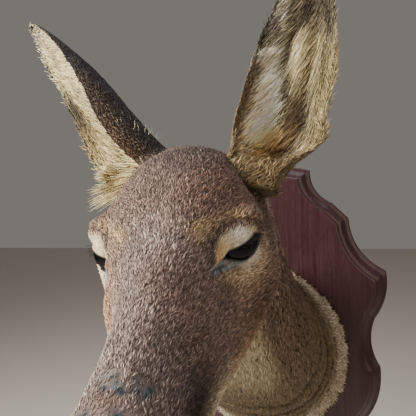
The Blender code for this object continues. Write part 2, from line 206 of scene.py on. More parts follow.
def body_frame():
    """Shares of the body's length at its sections, and each section's two ends, lateral axis and shape."""
    rows = []
    lateral = HEAD_AXES[:, 0]
    for dorsal, ventral, *shape in HEAD_SECTIONS:
        ends = from_head([(0, *dorsal), (0, *ventral)])
        rows.append(np.concatenate([ends[0], ends[1], lateral, shape]))
    last = (rows[-1][0:3] + rows[-1][3:6]) / 2
    for dorsal, ventral, *shape in NECK_SECTIONS:
        reach = ((dorsal[0] + ventral[0]) / 2 + BOARD_THICKNESS) / (last[1] + BOARD_THICKNESS)
        x = last[0] * reach
        across = unit((1 - reach**NECK_BEND) * np.array([1.0, 0, 0]) + reach**NECK_BEND * lateral)
        rows.append(np.concatenate([(x, *dorsal), (x, *ventral), across, shape]))
    rows = np.array(rows)
    middles = (rows[:, 0:3] + rows[:, 3:6]) / 2
    lengths = np.linalg.norm(np.diff(middles, axis=0), axis=1)
    knots = np.concatenate([[0], np.cumsum(lengths)])
    return knots / knots[-1], rows


BODY_KNOTS, BODY_SECTIONS = body_frame()


def body_points(shares, angles, inset):
    """Points of the body for arrays of shares and angles, set in from the coat's tips by the inset.

    A point is the section's middle plus the lateral axis times the half width times sin(angle) and plus
    the dorsal or ventral arm times cos(angle), each raised to two over the section's squareness. Then the
    swellings push it away from the middle.
    """
    values = smooth_through(BODY_KNOTS, BODY_SECTIONS, shares)
    dorsal, ventral, lateral = values[:, 0:3], values[:, 3:6], unit(values[:, 6:9])
    half, share, upper, lower = (values[:, 9 + k, None] for k in range(4))
    grow = -np.asarray(inset)[:, None]
    middle = ventral + share * (dorsal - ventral)
    cos, sin = np.cos(angles)[:, None], np.sin(angles)[:, None]
    power = 2 / np.where(cos >= 0, upper, lower)
    arm = np.where(cos >= 0, dorsal - middle, ventral - middle)
    length = np.linalg.norm(arm, axis=1, keepdims=True)
    out = arm / length * (length + grow) * np.abs(cos) ** power
    out = out + lateral * (half + grow) * np.sign(sin) * np.abs(sin) ** power
    points = middle + out
    in_head = to_head(points)
    push = np.zeros(len(points))
    for centre, radii, height in FORMS:
        for side in ((1, -1) if centre[0] > 0 else (1,)):
            place = np.array([centre[0] * side, centre[1], centre[2]])
            push += height * np.exp(-np.sum(((in_head - place) / np.array(radii)) ** 2, axis=1))
    return points + unit(out) * push[:, None]


def coat_depth(shares):
    """Depth of the coat at shares of the body's length."""
    return np.interp(shares, COAT_SHARES, COAT_DEPTHS)


# ---- Small tools for fields over the surface ----

def rise(low, high, value):
    """Smooth rise from 0 at low to 1 at high."""
    t = np.clip((value - low) / (high - low), 0, 1)
    return t * t * (3 - 2 * t)


def between(value, a, b, c, d):
    """Smooth rise from 0 to 1 between a and b, and fall back to 0 between c and d."""
    return rise(a, b, value) * rise(d, c, value)


def bump(value, centre, width):
    """Bell curve of height one."""
    return np.exp(-((value - centre) / width) ** 2)


def blob(points, centre, radii):
    """Bell-shaped spot in space, of height one at its centre."""
    return np.exp(-np.sum(((points - np.array(centre, float)) / np.array(radii, float)) ** 2, axis=-1))


def noise(points, cell, seed):
    """Smooth random field from -1 to 1: random values on a cubic lattice, blended between its corners."""
    place = np.asarray(points, float) / cell
    base = np.floor(place).astype(np.int64)
    t = place - base
    t = t * t * (3 - 2 * t)
    total = np.zeros(len(place))
    for corner in itertools.product((0, 1), repeat=3):
        k = base + np.array(corner)
        mixed = (k[:, 0] * 73856093) ^ (k[:, 1] * 19349663) ^ (k[:, 2] * 83492791) ^ (seed * 7919)
        mixed = (mixed ^ (mixed >> 13)) * 1274126177
        value = ((mixed ^ (mixed >> 16)) & 0xFFFFFF) / 0xFFFFFF
        total += value * np.prod(np.where(np.array(corner), t, 1 - t), axis=1)
    return total * 2 - 1


def linear(colour):
    """An sRGB hex colour as linear red, green and blue."""
    channels = np.array([int(colour[k:k + 2], 16) / 255 for k in (0, 2, 4)])
    return np.where(channels <= 0.04045, channels / 12.92, ((channels + 0.055) / 1.055) ** 2.4)


def paint(colour, *layers):
    """Colours tinted in turn by pairs of a hex colour and its amount at each point."""
    for tone, amount in layers:
        colour = colour + (linear(tone) - colour) * np.clip(amount, 0, 1)[:, None]
    return colour


def plain_colour(tone, points):
    """One hex colour for every point."""
    return np.tile(linear(tone), (len(points), 1))


# ---- Eyes: the opening between the lids, in each eye's own frame ----

LID_HALF = 20.2  # half the length of the opening
LID_MIDDLE = (1.6, -0.8)  # of the line between its corners
LID_RISES, LID_DROP = (5.4, 7.0), 8.3  # of the left and right upper lid's edge, and of the lower ones
LID_SKEWS = (0.3, 0.2)  # how much more the upper and the lower edge bow towards the rear
LID_FLATTER = 0.92  # turns the bowed edges' offset into a distance
LID_WIDTH = 9.0  # over which the lid's edge climbs to the face
LID_LIFT = 0.9  # of its edge over the eyeball
LID_COVER = 0.7  # least depth of the lid over the eyeball
# Fold over the left and the right eye: middle along the eye, reach to the front and to the rear, height.
LID_FOLDS = ((-9.0, 26.5, 29.0, 15.0), (2.0, 19.0, 24.0, 17.0))
LID_SHARES, LID_ANGLES = (0.2, 0.42), (0.3, 2.1)  # the part of the body's grid round an eye
LID_CROWD_DEPTH = 5  # inside the opening, as far as grid points are moved to the lids' edge
LID_CROWD_ENDS = (26, 18)  # along the eye, where that stops and where it is still full
EYE_FIELD = (48, 36)  # half length and half height of the carved field round an eye
# The bare strip from the tear duct's tip along the lower lid: place along the eye, middle and half width.
DUCT_ALONG = (-44.0, -42.0, -36.0, -28.0, -20.0, -12.0, -6.0, 4.0)
DUCT_MIDDLE = (-1.2, -1.1, -1.2, -3.0, -6.0, -9.4, -10.8, -11.2)
DUCT_HALF = (0.2, 0.9, 2.6, 3.9, 4.2, 3.2, 2.1, 0.3)


def eye_axes(side):
    """Axes of one eye's opening in the head's frame: along it to the rear, up across it, and out of it."""
    facing, slant = math.radians(EYE_FACING_DEG), math.radians(EYE_SLANT_DEG)
    out = np.array([math.cos(facing), -math.sin(facing), 0])
    back = np.array([math.sin(facing) * math.cos(slant), math.cos(facing) * math.cos(slant), math.sin(slant)])
    return np.array([back, np.cross(out, back), out]) * (side, 1, 1)


def in_eye(points, side):
    """Head frame points in one eye's frame, from the middle of its ball."""
    return (points - np.array(EYE_CENTRE) * (side, 1, 1)) @ eye_axes(side).T


def out_of_eye(points, side):
    """Points in one eye's frame, carried to the row frame."""
    return from_head(points @ eye_axes(side) + np.array(EYE_CENTRE) * (side, 1, 1))


def ball_height(u, v, least=0):
    """Height of the eyeball's front over its middle, the square of which is no lower than least."""
    return np.sqrt(np.maximum(EYE_RADIUS**2 - u**2 - v**2, least))


def lid_bow(u, height, skew):
    """A lid's edge over the line between the corners: a flat arch, highest behind the middle."""
    t = np.clip((u - LID_MIDDLE[0]) / LID_HALF, -2, 2)
    arch = 1 - t**2
    return height * arch * np.where(arch > 0, 1 + skew * t, 1)


def upper_edge(u, side):
    """Height of the upper lid's edge along the eye. The right eye is the wider open one."""
    return LID_MIDDLE[1] + lid_bow(u, np.where(side > 0, *LID_RISES), LID_SKEWS[0])


def lid_distance(u, v, side):
    """Distance from the lids' edge, positive outside the opening, and minus one times the depth inside."""
    lower = LID_MIDDLE[1] - v - lid_bow(u, LID_DROP, LID_SKEWS[1])
    return np.maximum(v - upper_edge(u, side), lower) * LID_FLATTER


def duct_distance(u, v):
    """Distance from the middle of the bare strip at the tear duct, as a share of its half width there."""
    far = np.abs(v - np.interp(u, DUCT_ALONG, DUCT_MIDDLE)) / np.interp(u, DUCT_ALONG, DUCT_HALF)
    return far + 5 * (rise(-41, -44, u) + rise(0, 4, u))


def lid_arch(u, v, side):
    """Field of the upper lid's swelling: 1 at the middle of its lower edge, 0 round its crease."""
    middle, front, rear, height = (np.where(side > 0, a, b) for a, b in zip(*LID_FOLDS))
    reach = np.where(u < middle, front, rear)
    return 1 - np.sqrt(((u - middle) / reach) ** 2 + ((v - LID_MIDDLE[1]) / height) ** 2)


def carve_eye(points, side):
    """Shape the lids, their crease and the tear duct round one eye, in the head's frame.

    Near the opening the surface becomes the eyeball's, lifted by the lid. It sinks inside the opening and
    returns to the face over the lid's width. Bell curves of the distances add the rim, folds and duct.
    """
    u, v, w = in_eye(points, side).T
    near = (np.abs(u) < EYE_FIELD[0]) & (np.abs(v) < EYE_FIELD[1]) & (w > 0)
    u, v, w = u[near], v[near], w[near]
    d, duct, arch = lid_distance(u, v, side), duct_distance(u, v), lid_arch(u, v, side)
    ball = ball_height(u, v)
    lid = rise(0, LID_WIDTH, d)
    shaped = np.maximum(ball + LID_LIFT, w - 1.2) * (1 - lid) + w * lid
    shaped += 0.4 * bump(d, 1.1, 0.9)  # the lid's rim
    shaped -= 5.0 * rise(0.0, -1.3, d)  # the opening
    upper = rise(1.0, 5.0, v - LID_MIDDLE[1])
    shaped += 0.4 * rise(0.0, 0.5, arch) * rise(1.0, 4.0, d) * upper  # the lid's swelling
    shaped -= 1.8 * bump(arch, -0.12, 0.14) * upper * rise(38, 26, np.abs(u + 9))  # its crease
    shaped -= 1.3 * np.exp(-duct ** 2) * rise(-1.0, 1.2, d)  # the tear duct, and its raised edge
    shaped += 0.9 * bump(duct, 1.7, 0.5) * rise(-40, -34, u) * rise(1.0, 3.0, d)
    shaped -= 0.8 * bump(d, 9.0, 1.6) * rise(1.0, -4.0, v) * rise(24, 12, np.abs(u - 2))
    shaped = np.where((d > 0.2) & (ball > 0), np.maximum(shaped, ball + LID_COVER), shaped)
    fade = rise(EYE_FIELD[0], 38, np.abs(u)) * rise(EYE_FIELD[1], 28, np.abs(v))
    out = np.array(points)
    out[near] += (fade * (shaped - w))[:, None] * eye_axes(side)[2]
    return out


def crowd_to_lids(shares, angles):
    """Move grid points along the surface so that most lie by the lids' edge, where the form turns most.

    The distance d from the edge becomes |d| to the power 1.5 over the square root of the lid's width. The
    move in the eye's plane is turned into moves of share and angle by the surface's own slopes.
    """
    small = 0.0005
    for side in (1, -1):
        turned = angles * side
        picked = np.flatnonzero((shares > LID_SHARES[0]) & (shares < LID_SHARES[1])
                                & (turned > LID_ANGLES[0]) & (turned < LID_ANGLES[1]))
        s, a = shares[picked], angles[picked]

        def plane(s, a):
            """Places in the eye's plane of the coated body's points."""
            return in_eye(to_head(body_points(s, a, coat_depth(s))), side)[:, :2].T

        u, v = plane(s, a)
        su, sv = (plane(s + small, a) - (u, v)) / small
        au, av = (plane(s, a + small) - (u, v)) / small
        d = lid_distance(u, v, side)
        slope = np.c_[lid_distance(u + 0.05, v, side) - d, lid_distance(u, v + 0.05, side) - d]
        move = np.sign(d) * np.abs(d) ** 1.5 / LID_WIDTH**0.5 - d
        move = np.where((d < LID_WIDTH) & (d > -LID_CROWD_DEPTH), move, 0) * rise(*LID_CROWD_ENDS, np.abs(u))
        mu, mv = (unit(slope) * move[:, None]).T
        area = su * av - sv * au
        area = np.where(np.abs(area) < 1.0, 1e9, area)
        shares[picked] = s + (mu * av - mv * au) / area
        angles[picked] = a + (su * mv - sv * mu) / area
    return shares, angles


# ---- The skin of head and neck ----

HIDE_WRINKLES = ((30, 1.5), (47, 1.5), (66, 1.3), (90, 0.9))  # distance from the board and depth
WRINKLE_DEPTH, WRINKLE_WIDTH = 1.5, 3.0
# Small swellings and hollows, as in FORMS: the nostril, its slit and wing, then the left cheek's folds.
SMALL_FORMS = (
    ((17.5, -199, -5.5), (4.6, 5.0, 3.6), -6.5),
    ((22.5, -191, -9), (2.4, 6.0, 3.0), -3.0),
    ((19, -196, 1.5), (6.0, 6.0, 3.0), 1.2),
)
CHEEK_FORMS = (((36, -84, -20), (9, 20, 10), 2.0), ((20, -92, 12), (8, 16, 8), 1.2))
CHEEK_CREASE = ((22, -112, 3), (31, -80, -14))
DUCT_CREASE = ((31, -62, 8), (33, -70, -6))


def along(ends, points):
    """Way along a segment from 0 to 1, and distance from it, for points in any dimension."""
    start, way = np.array(ends[0], float), np.array(ends[1], float) - np.array(ends[0], float)
    t = np.clip((points - start) @ way / np.dot(way, way), 0, 1)
    return t, np.linalg.norm(points - start - t[:, None] * way, axis=1)


def board_distance(points):
    """Distance of row frame points from the board's face."""
    return -BOARD_THICKNESS - points[:, 1]


def hide_rings(points):
    """Wrinkles round the neck near the board: wavering grooves that follow the edge of the hide."""
    gap = board_distance(points) + 5 * noise(points, 45, 3) + 2 * noise(points, 16, 4)
    rings = sum(depth * bump(gap, place, WRINKLE_WIDTH) for place, depth in HIDE_WRINKLES)
    return WRINKLE_DEPTH * rings * rise(150, 60, points[:, 2])


def body_details(points, shares, angles):
    """Height to add at each point of the body: mouth, nostrils, creases, wrinkles and the hide's edge."""
    head = to_head(points)
    x, y, z = head.T
    folded = np.c_[np.abs(x), y, z]
    mouth_end = rise(0.20, 0.17, shares) * rise(0.004, 0.02, shares)
    across = (np.abs(angles) - MOUTH_ANGLE - 0.25 * rise(0.05, 0.0, shares)) * 30
    height = -2.6 * bump(across, 0, 1.6) * mouth_end  # between the lips
    height += 0.9 * (bump(across, -5, 3.5) + bump(across, 5, 3.0)) * mouth_end
    for place, forms in ((folded, SMALL_FORMS), (head, CHEEK_FORMS)):
        height += sum(swelling * blob(place, centre, radii) for centre, radii, swelling in forms)
    height -= 1.2 * bump(x, 0, 1.6) * rise(-196, -202, y) * rise(-34, -20, z)  # groove down the nose pad
    t, far = along(CHEEK_CREASE, head)
    height -= 2.6 * bump(far, 0, 3.0) * (np.sin(math.pi * np.clip(t, 0.02, 0.98)) ** 0.5 * (x > 0))
    height -= 0.9 * bump(along(DUCT_CREASE, folded)[1], 0, 2.0)
    height += 0.35 * noise(points, 14, 5) * rise(0.03, 0.1, shares)
    height -= hide_rings(points)
    lumps = 0.6 + 0.5 * noise(points, 11, 6) + 0.35 * noise(points, 5, 8)
    return height + 5.0 * bump(board_distance(points), 4, 11) * np.clip(lumps, 0, 1.3)


def crowded(fine, weight, count, endpoint=True):
    """Places picked from a fine line, as much closer together as the weight there is higher."""
    filled = np.concatenate([[0], np.cumsum((weight[1:] + weight[:-1]) / 2)])
    return np.interp(np.linspace(0, filled[-1], count, endpoint=endpoint), filled, fine)


def grid_places():
    """Shares and angles of the body's grid: rows and columns lie closer together round the eyes and nose."""
    fine = np.linspace(0, 1, 4000)
    weight = 1 + 2.4 * bump(fine, 0.285, 0.045) + 1.3 * bump(fine, 0.0, 0.05) + 0.5 * rise(0.9, 1, fine)
    turns = np.linspace(-math.pi, math.pi, 4001)
    facing = 1 + 1.6 * bump(np.abs(turns), 1.12, 0.32) + 0.5 * bump(np.abs(turns), MOUTH_ANGLE, 0.15)
    rows, columns = crowded(fine, weight, BODY_ROWS), crowded(turns, facing, BODY_COLUMNS, False)
    return [grid.ravel() for grid in np.meshgrid(rows, columns, indexing="ij")]


def grid_triangles(rows, columns):
    """Triangles of a grid closed round its rows, with a fan over each end on a point added after the grid."""
    k = np.arange(rows * columns).reshape(rows, columns)
    following = np.roll(k, -1, axis=1)
    a, b, c, d = k[:-1], following[:-1], following[1:], k[1:]
    sides = np.concatenate([np.stack([a, b, c], -1), np.stack([a, c, d], -1)]).reshape(-1, 3)
    front = np.c_[following[0], k[0], np.full(columns, rows * columns)]
    back = np.c_[k[-1], following[-1], np.full(columns, rows * columns + 1)]
    return np.concatenate([sides, front, back])


def extend(values, shape):
    """Values of a grid, flat, with the mean of its first and of its last row added as two end points."""
    grid = values.reshape(*shape, -1)
    flat = grid.reshape(shape[0] * shape[1], -1)
    return np.concatenate([flat, grid[:1].mean(axis=1), grid[-1:].mean(axis=1)])


def capped(grid):
    """Points of a closed grid with a point added for each end, and its triangles, turned to face outwards."""
    points, triangles = extend(grid, grid.shape[:2]), grid_triangles(*grid.shape[:2])
    a, b, c = (points[triangles[:, k]] for k in range(3))
    return points, triangles if np.sum(np.cross(a, b) * c) > 0 else triangles[:, ::-1]


def vertex_normals(points, triangles):
    """Normals at the points, each the sum of its triangles' areas."""
    a, b, c = (points[triangles[:, k]] for k in range(3))
    area = np.cross(b - a, c - a)
    total = np.zeros_like(points)
    for k in range(3):
        for axis in range(3):
            total[:, axis] += np.bincount(triangles[:, k], area[:, axis], len(points))
    return unit(total)


def body_skin():
    """The skin of head and neck as a dict of arrays for its points, and its triangles."""
    shares, angles = crowd_to_lids(*grid_places())
    points = body_points(shares, angles, coat_depth(shares))
    shape = (BODY_ROWS, BODY_COLUMNS)
    out, triangles = capped(points.reshape(*shape, 3))
    normals = vertex_normals(out, triangles)[:-2]
    points = points + normals * body_details(points, shares, angles)[:, None]
    head = to_head(points)
    for side in (1, -1):
        head = carve_eye(head, side)
    points = from_head(head)
    points[:, 1] = np.minimum(points[:, 1], -BOARD_THICKNESS - 0.2)
    points = points.reshape(*shape, 3)
    back = unit(np.gradient(points, axis=0))
    round_it = unit(np.roll(points, -1, axis=1) - np.roll(points, 1, axis=1))
    points, triangles = capped(points)
    skin = {"point": points, "share": extend(shares, shape)[:, 0], "angle": extend(angles, shape)[:, 0],
            "back": extend(back, shape), "round": extend(round_it, shape)}
    skin["angle"][-2:] = 0
    skin["normal"] = vertex_normals(points, triangles)
    turned = (skin["angle"] / math.pi + 1) / 2
    skin["map"] = np.c_[0.02 + BODY_MAP_WIDTH * turned, 0.02 + 0.96 * skin["share"]]
    return skin, triangles


# ---- Ears ----

# Folds along an ear's inside: where across it, their width and height, then where they rise and end up it.
EAR_FOLDS = (
    (0.10, 0.12, -3.2, (0.02, 0.15, 0.45, 0.75)),
    (-0.28, 0.16, 1.6, (0.05, 0.2, 0.5, 0.85)),
    (0.50, 0.14, 1.2, (0.05, 0.2, 0.5, 0.8)),
)
EAR_RUFFLES = {"ear_left": 1.6, "ear_right": 0.4}  # height of the waves along the edges
EAR_PLUG = (3.0, 4.0)  # how far the filled base lies below the edges, and how much its middle bulges
EAR_MAPS = {"ear_left": 0.02, "ear_right": 0.52}  # lower end on the bake map


def ear_hand(name):
    """1 for the left ear and -1 for the right one."""
    return 1 if name == "ear_left" else -1


def ear_frame(name):
    """One ear's base point and axes in the row frame: along to the tip, across, and out of the opening."""
    base, tip, facing, _ = EARS[name]
    along_it = unit(tip)
    out = unit(np.array(facing) - along_it * np.dot(facing, along_it))
    return from_head(base), along_it, np.cross(along_it, out), out


def ear_skin(name):
    """One cupped ear as a dict of arrays for its points, and its triangles.

    Across the blade lies an arc of a circle: its half width and the angle it wraps follow EAR_SHAPE, from
    a near tube at the base to a shallow dish at the tip. Each ring runs over the inner wall and back over
    the outer one. The edges are rolled thin, and the base spreads to meet the head.
    """
    origin, along_it, across, out = ear_frame(name)
    hand = ear_hand(name)
    way = np.linspace(0, 1, EAR_ROWS)[:, None]
    distance = -EAR_ROOT + way * (EAR_LENGTH - EAR_TIP_COAT + EAR_ROOT)
    up = distance / EAR_LENGTH
    reach = np.clip(up, 0, 1)
    shape = smooth_through([row[0] for row in EAR_SHAPE], [row[1:] for row in EAR_SHAPE], reach[:, 0])
    curl = np.radians(shape[:, 1:2] * (1 + (EARS[name][3] - 1) * np.sin(math.pi * reach)))
    radius = shape[:, 0:1] / np.sin(np.minimum(curl, math.pi / 2))
    side = np.sin(np.linspace(-1, 1, EAR_COLUMNS) * math.pi / 2)[None, :]
    turned = side * curl * 0.985
    bend = EAR_BEND * np.maximum(0, 1 - distance / (EAR_BEND_SHARE * EAR_LENGTH)) ** 1.5
    origin = origin - hand * HEAD_AXES[:, 0] * bend[..., None]
    flare = hand * EAR_FLARE * bump(up, EAR_FLARE_PLACE, EAR_FLARE_SPREAD) * np.maximum(side * hand, 0) ** 2
    lateral = side * hand
    relief = EAR_LEAN * np.sin(math.pi * reach)
    for place, width, height, ends in EAR_FOLDS:
        relief = relief - height * bump(lateral, place, width) * between(reach, *ends)
    waves = np.sin(reach * 34 + 2.0 * np.sin(reach * 13)) * np.abs(side) ** 6
    relief = relief + EAR_RUFFLES[name] * waves * rise(0.1, 0.3, reach)
    wall = (EAR_WALL - 1.2 * reach) * np.sqrt(np.clip(1 - side**6, 0.02, 1)) + 2.5 * rise(0.10, -0.08, up)
    filled = rise(0.04, -0.04, up)
    plug = radius - radius * np.cos(curl) - EAR_PLUG[0] + EAR_PLUG[1] * (1 - side**2)

    def wall_points(offset, fill):
        """Points of the blade's arc, moved out by the offset, and raised to the plug where it is filled."""
        sideways = (radius + offset) * np.sin(turned) + flare
        forward = radius - (radius + offset) * np.cos(turned)
        forward = forward + fill * np.maximum(plug - forward, 0) + relief
        return (origin + along_it * distance[..., None] + across * sideways[..., None]
                + out * forward[..., None])

    grid = np.concatenate([wall_points(-wall / 2, filled), wall_points(wall / 2, 0)[:, ::-1]], axis=1)
    shape = grid.shape[:2]
    ring = np.arange(shape[1])
    inside = (ring < EAR_COLUMNS).astype(float)
    outward = unit(np.roll(grid, -1, axis=1) - np.roll(grid, 1, axis=1))
    points, triangles = capped(grid)
    place = np.stack(np.broadcast_arrays(0.66 + 0.32 * (ring / shape[1]),
                                         EAR_MAPS[name] + 0.45 * np.clip(way, 0, 1)), axis=-1)

    def spread(values):
        """One value for each point of the capped grid."""
        return extend(np.broadcast_to(values, shape), shape)[:, 0]

    return {"point": points, "inside": spread(inside), "reach": spread(up),
            "lateral": spread(np.concatenate([lateral, lateral[:, ::-1]], axis=1)),
            "back": extend(unit(np.gradient(grid, axis=0)), shape),
            "round": extend(outward * (inside * 2 - 1)[:, None] * hand, shape),
            "map": extend(place, shape), "normal": vertex_normals(points, triangles)}, triangles


# ---- Markings ----

# Soft spots of colour on the head, some of them painted shade and painted light as marked: hex colour,
# strength, on one side or both, middle and radii.
HEAD_SPOTS = (
    ("3f3533", 0.85, "one", (14, 66, 50), (44, 50, 26)),  # dark crown: partly darker hair, partly painted shade on the less lit top of the head
    ("190c08", 0.98, "both", (29, -124, -30), (17, 44, 27)),  # painted shade: the muzzle's flanks darkened near to black
    ("6a5240", 0.5, "both", (48, 10, -40), (26, 46, 26)),  # brown jaw muscle
    ("45352a", 0.70, "one", (68, 22, 8), (16, 40, 44)),  # painted shade behind the eye, on the shaded side
    ("3c2c22", 0.80, "one", (58, -8, -54), (18, 52, 34)),  # painted shade on the lower cheek of the shaded side
    ("a8917c", 0.45, "one", (50, -34, -22), (12, 16, 12)),  # pale cheekbone
    # painted light: lifts the shaded left side below the eye
    ("9a8472", 0.5, "one", (58, -4, -24), (18, 24, 18)),
    ("a07c58", 0.60, "one", (-33, -66, -6), (14, 46, 22)),  # tan far cheek
    ("b98d5c", 0.65, "both", (30, -40, -90), (26, 76, 22)),  # tan edge of the jaw
)
# Spots on the nose where the hair is worn off: middle and size.
WORN_SPOTS = (
    ((-0.8, -145, 18), 6.5), ((5.6, -148, 17), 4.0), ((13.5, -142, 13), 8.0), ((-9, -159, 15), 6),
    ((7, -160, 16), 5.5), ((14, -160, 12), 5.0),
)
CREASE_HIGHLIGHT = ((28, -106, -3), (37, -76, -21))  # a painted highlight along the ridge below the cheek's crease


def eye_fields(head):
    """Lids' distance, tear duct's distance, and place in the plane of the nearer eye, for head points."""
    side = np.where(head[:, 0] >= 0, 1.0, -1.0)
    u, v, w = in_eye(head * np.c_[side, np.ones((len(head), 2))], 1).T
    near = rise(-2, 4, w) * rise(60, 44, np.abs(u)) * rise(50, 36, np.abs(v))
    return lid_distance(u, v, side), duct_distance(u, v), u, v, near


def nearest_ear(head):
    """Distance of head points from the nearer ear's base."""
    return np.min([np.linalg.norm(head - np.array(ear[0]), axis=1) for ear in EARS.values()], axis=0)


def body_markings(skin):
    """Colour, bareness, hair length, width, how far it stands, and how dense it is, over head and neck."""
    points, share, angle = skin["point"], skin["share"], skin["angle"]
    turned = np.abs(angle)
    head = to_head(points)
    x, y, z = head.T
    ax, left = np.abs(x), x > 0
    folded = np.c_[ax, y, z]
    soft = noise(points, 30, 11) + 0.5 * noise(points, 12, 12)
    d, duct, u, v, near = eye_fields(head)
    eye_plane = np.c_[u, v]
    # The face: grey brown, lighter along the top of the nose, partly paler hair and partly a painted sheen;
    # painted shade in the cheek's crease and a painted highlight below it.
    top = bump(ax, 0, 22) * rise(-10, -60, y)
    colour = paint(plain_colour("77645a", points), ("a3958d", 0.6 * top + 0.15 * soft * top))
    for tone, amount, sides, centre, radii in HEAD_SPOTS:
        colour = paint(colour, (tone, amount * blob(folded if sides == "both" else head, centre, radii)))
    t, far = along(CHEEK_CREASE, head)
    low_t, low_far = along(CREASE_HIGHLIGHT, head)
    red = rise(-0.2, 0.9, noise(points, 48, 19)) * rise(0.12, 0.2, share) * rise(0.5, 0.35, share)
    throat = rise(-60, -92, z + 0.25 * y) * rise(45, 18, ax) * rise(-190, -160, y)
    # Round the eyes: the pale upper lid, with a painted highlight at the middle of the left one and painted
    # shade in its crease, a painted grey sheen above the brow, the brow's tan streak, a pale lower fringe.
    arch = lid_arch(u, v + 1.6 * soft, x)
    upper = rise(0.2, 1.8, v - LID_MIDDLE[1]) * near
    lower = rise(0.0, -3.0, v) * near
    lid = upper * rise(-0.02, 0.24, arch) * rise(-38, -34, u)
    brow = near * bump(v, 22.5 - 0.004 * (u + 18) ** 2, 4.6) * between(u, -46, -34, 2, 16)
    base = nearest_ear(head)
    colour = paint(
        colour,
        # Painted shade in the left cheek's crease, and a painted highlight along the ridge below it.
        ("2a1f18", 0.85 * bump(far, 0, 3.2) * between(t, -0.1, 0.15, 0.8, 1.0) * left),
        ("a8917b", 0.45 * bump(low_far, 0, 6.5) * between(low_t, -0.1, 0.15, 0.8, 1.1) * left),
        ("745041", 0.36 * red),
        ("d9caa3", 0.95 * throat),
        ("cdbf9c", 0.8 * blob(folded, (0, -178, -48), (24, 24, 16))),  # pale chin
        ("f0dfb6", 0.97 * lid),
        # A painted highlight at the middle of the left upper lid.
        ("f6f0e4", 0.7 * left * lid * blob(eye_plane, (-3, 9), (9, 6))),
        ("cf9f5c", 0.8 * lid * rise(-10, -28, u)),
        # Painted shade in the upper lid's crease.
        ("3a302d", 0.55 * upper * bump(arch, -0.07, 0.06) * rise(34, 26, np.abs(u + 14))),
        # A painted grey sheen above the brow.
        ("6f6560", 0.5 * near * blob(eye_plane, (-12, 30), (15, 5))),
        ("b89c70", 0.85 * brow * (1 + 0.3 * soft)),
        ("f0e6d0", 0.95 * lower * bump(d, 4.8, 4.6) * between(u, -14, -2, 13, 21)),
        ("c2a98a", 0.85 * lower * bump(d, 11, 7) * rise(34, 18, np.abs(u - 2))),
        ("43332a", 0.55 * near * rise(12, 20, u) * bump(v, 2, 10)),
        ("7d6c50", 0.75 * rise(52, 26, base + 6 * soft)))
    # Neck: olive tan, a warm light band along the jaw, grey cream at the hide's edge.
    neck = rise(0.50, 0.62, share)
    neck_colour = paint(
        plain_colour("6b5b41", points),
        ("4b3d31", 0.75 * rise(1.5, 0.6, turned)),
        ("594537", 0.9 * rise(0.88, 0.66, share)),
        ("857762", 0.30 * rise(0.2, 0.9, soft) + 0.25 * rise(1.4, 2.3, turned)),
        ("c9bb97", 0.7 * rise(2.35, 2.8, turned) * rise(0.84, 0.70, share)))
    colour = colour + (neck_colour - colour) * neck[:, None]
    edge = board_distance(points) + 3 * noise(points, 14, 13)
    # Bare leather: the nose pad, the lips' edge, lid rims and tear ducts, and worn spots on the nose.
    pad = rise(0.058, 0.046, share + 0.05 * rise(1.3, 2.2, turned))
    lips = bump((turned - MOUTH_ANGLE) * 30, 0, 1.6) * rise(0.2, 0.15, share)
    strip = near * rise(1.15, 0.85, duct)
    rims = near * rise(1.6, 0.8, d)
    flecks = 0.25 * noise(points, 2.5, 14)
    worn = sum(rise(0.35, 0.75, blob(head, place, (size, size * 0.9, size)) + flecks)
               for place, size in WORN_SPOTS)
    worn = np.clip(worn, 0, 1) * rise(-0.8, 0.0, noise(points, 3.0, 15))
    rust = rise(0.35, 0.9, blob(head, (0, -153, 18), (13, 7, 8)) + 0.35 * noise(points, 4, 16))
    bare = np.clip(np.max([pad, lips, rims, strip, worn, 0.22 * rust], axis=0), 0, 1)
    colour = paint(
        colour,
        # Painted shade in the neck's wrinkles.
        ("2c2118", 0.55 * hide_rings(points) / 2.2),
        ("93836a", 0.7 * rise(60, 34, edge) * neck),
        ("bdb19c", 0.9 * rise(38, 20, edge) * neck),
        ("6a4638", 0.6 * rust),
        ("212f35", worn),
        # Pale blue-grey flecks on the worn spots: painted highlights on the glossy dark paint showing
        # through.
        ("6d7d84", 0.6 * worn * rise(0.2, 0.8, noise(points, 3.5, 26))),
        ("1d1c1e", np.maximum(pad, lips)),
        ("6b777c", strip * (0.85 + 0.15 * noise(points, 3, 25))),
        ("a3abab", 0.9 * strip * rise(0.3, 0.8, noise(points, 2.2, 28))),
        ("101315", 0.9 * strip * rise(0.4, 0.8, noise(points, 2.6, 29))),
        ("2b3137", strip * bump(duct, 0.0, 0.35) * rise(-12, -22, u)),
        ("171b1f", rims),
        ("7d6a64", 0.6 * near * bump(d, 1.5, 0.5) * rise(0, 3, v - LID_MIDDLE[1]) * rise(-6, 6, u)))
    # Hair: short on the nose and the lids, longer back along the body and at the ears' base.
    lids = near * np.maximum(rise(9, 1, d), lid)
    length = 4.0 + 1.6 * rise(0.15, 0.45, share) + 5.5 * neck + 2.0 * rise(2.3, 2.9, turned)
    length = length * (1 - 0.55 * lids) * (0.65 + 0.35 * rise(0.05, 0.12, share))
    # The painted shade on the muzzle's flanks also holds back the pale hair tips there.
    flank_shade = blob(folded, (29, -124, -30), (20, 46, 30))
    glow = (0.17 + 0.34 * blob(head, (60, -12, -30), (36, 84, 50))) * (1 - 0.75 * flank_shade) * (1 - 0.75 * neck)
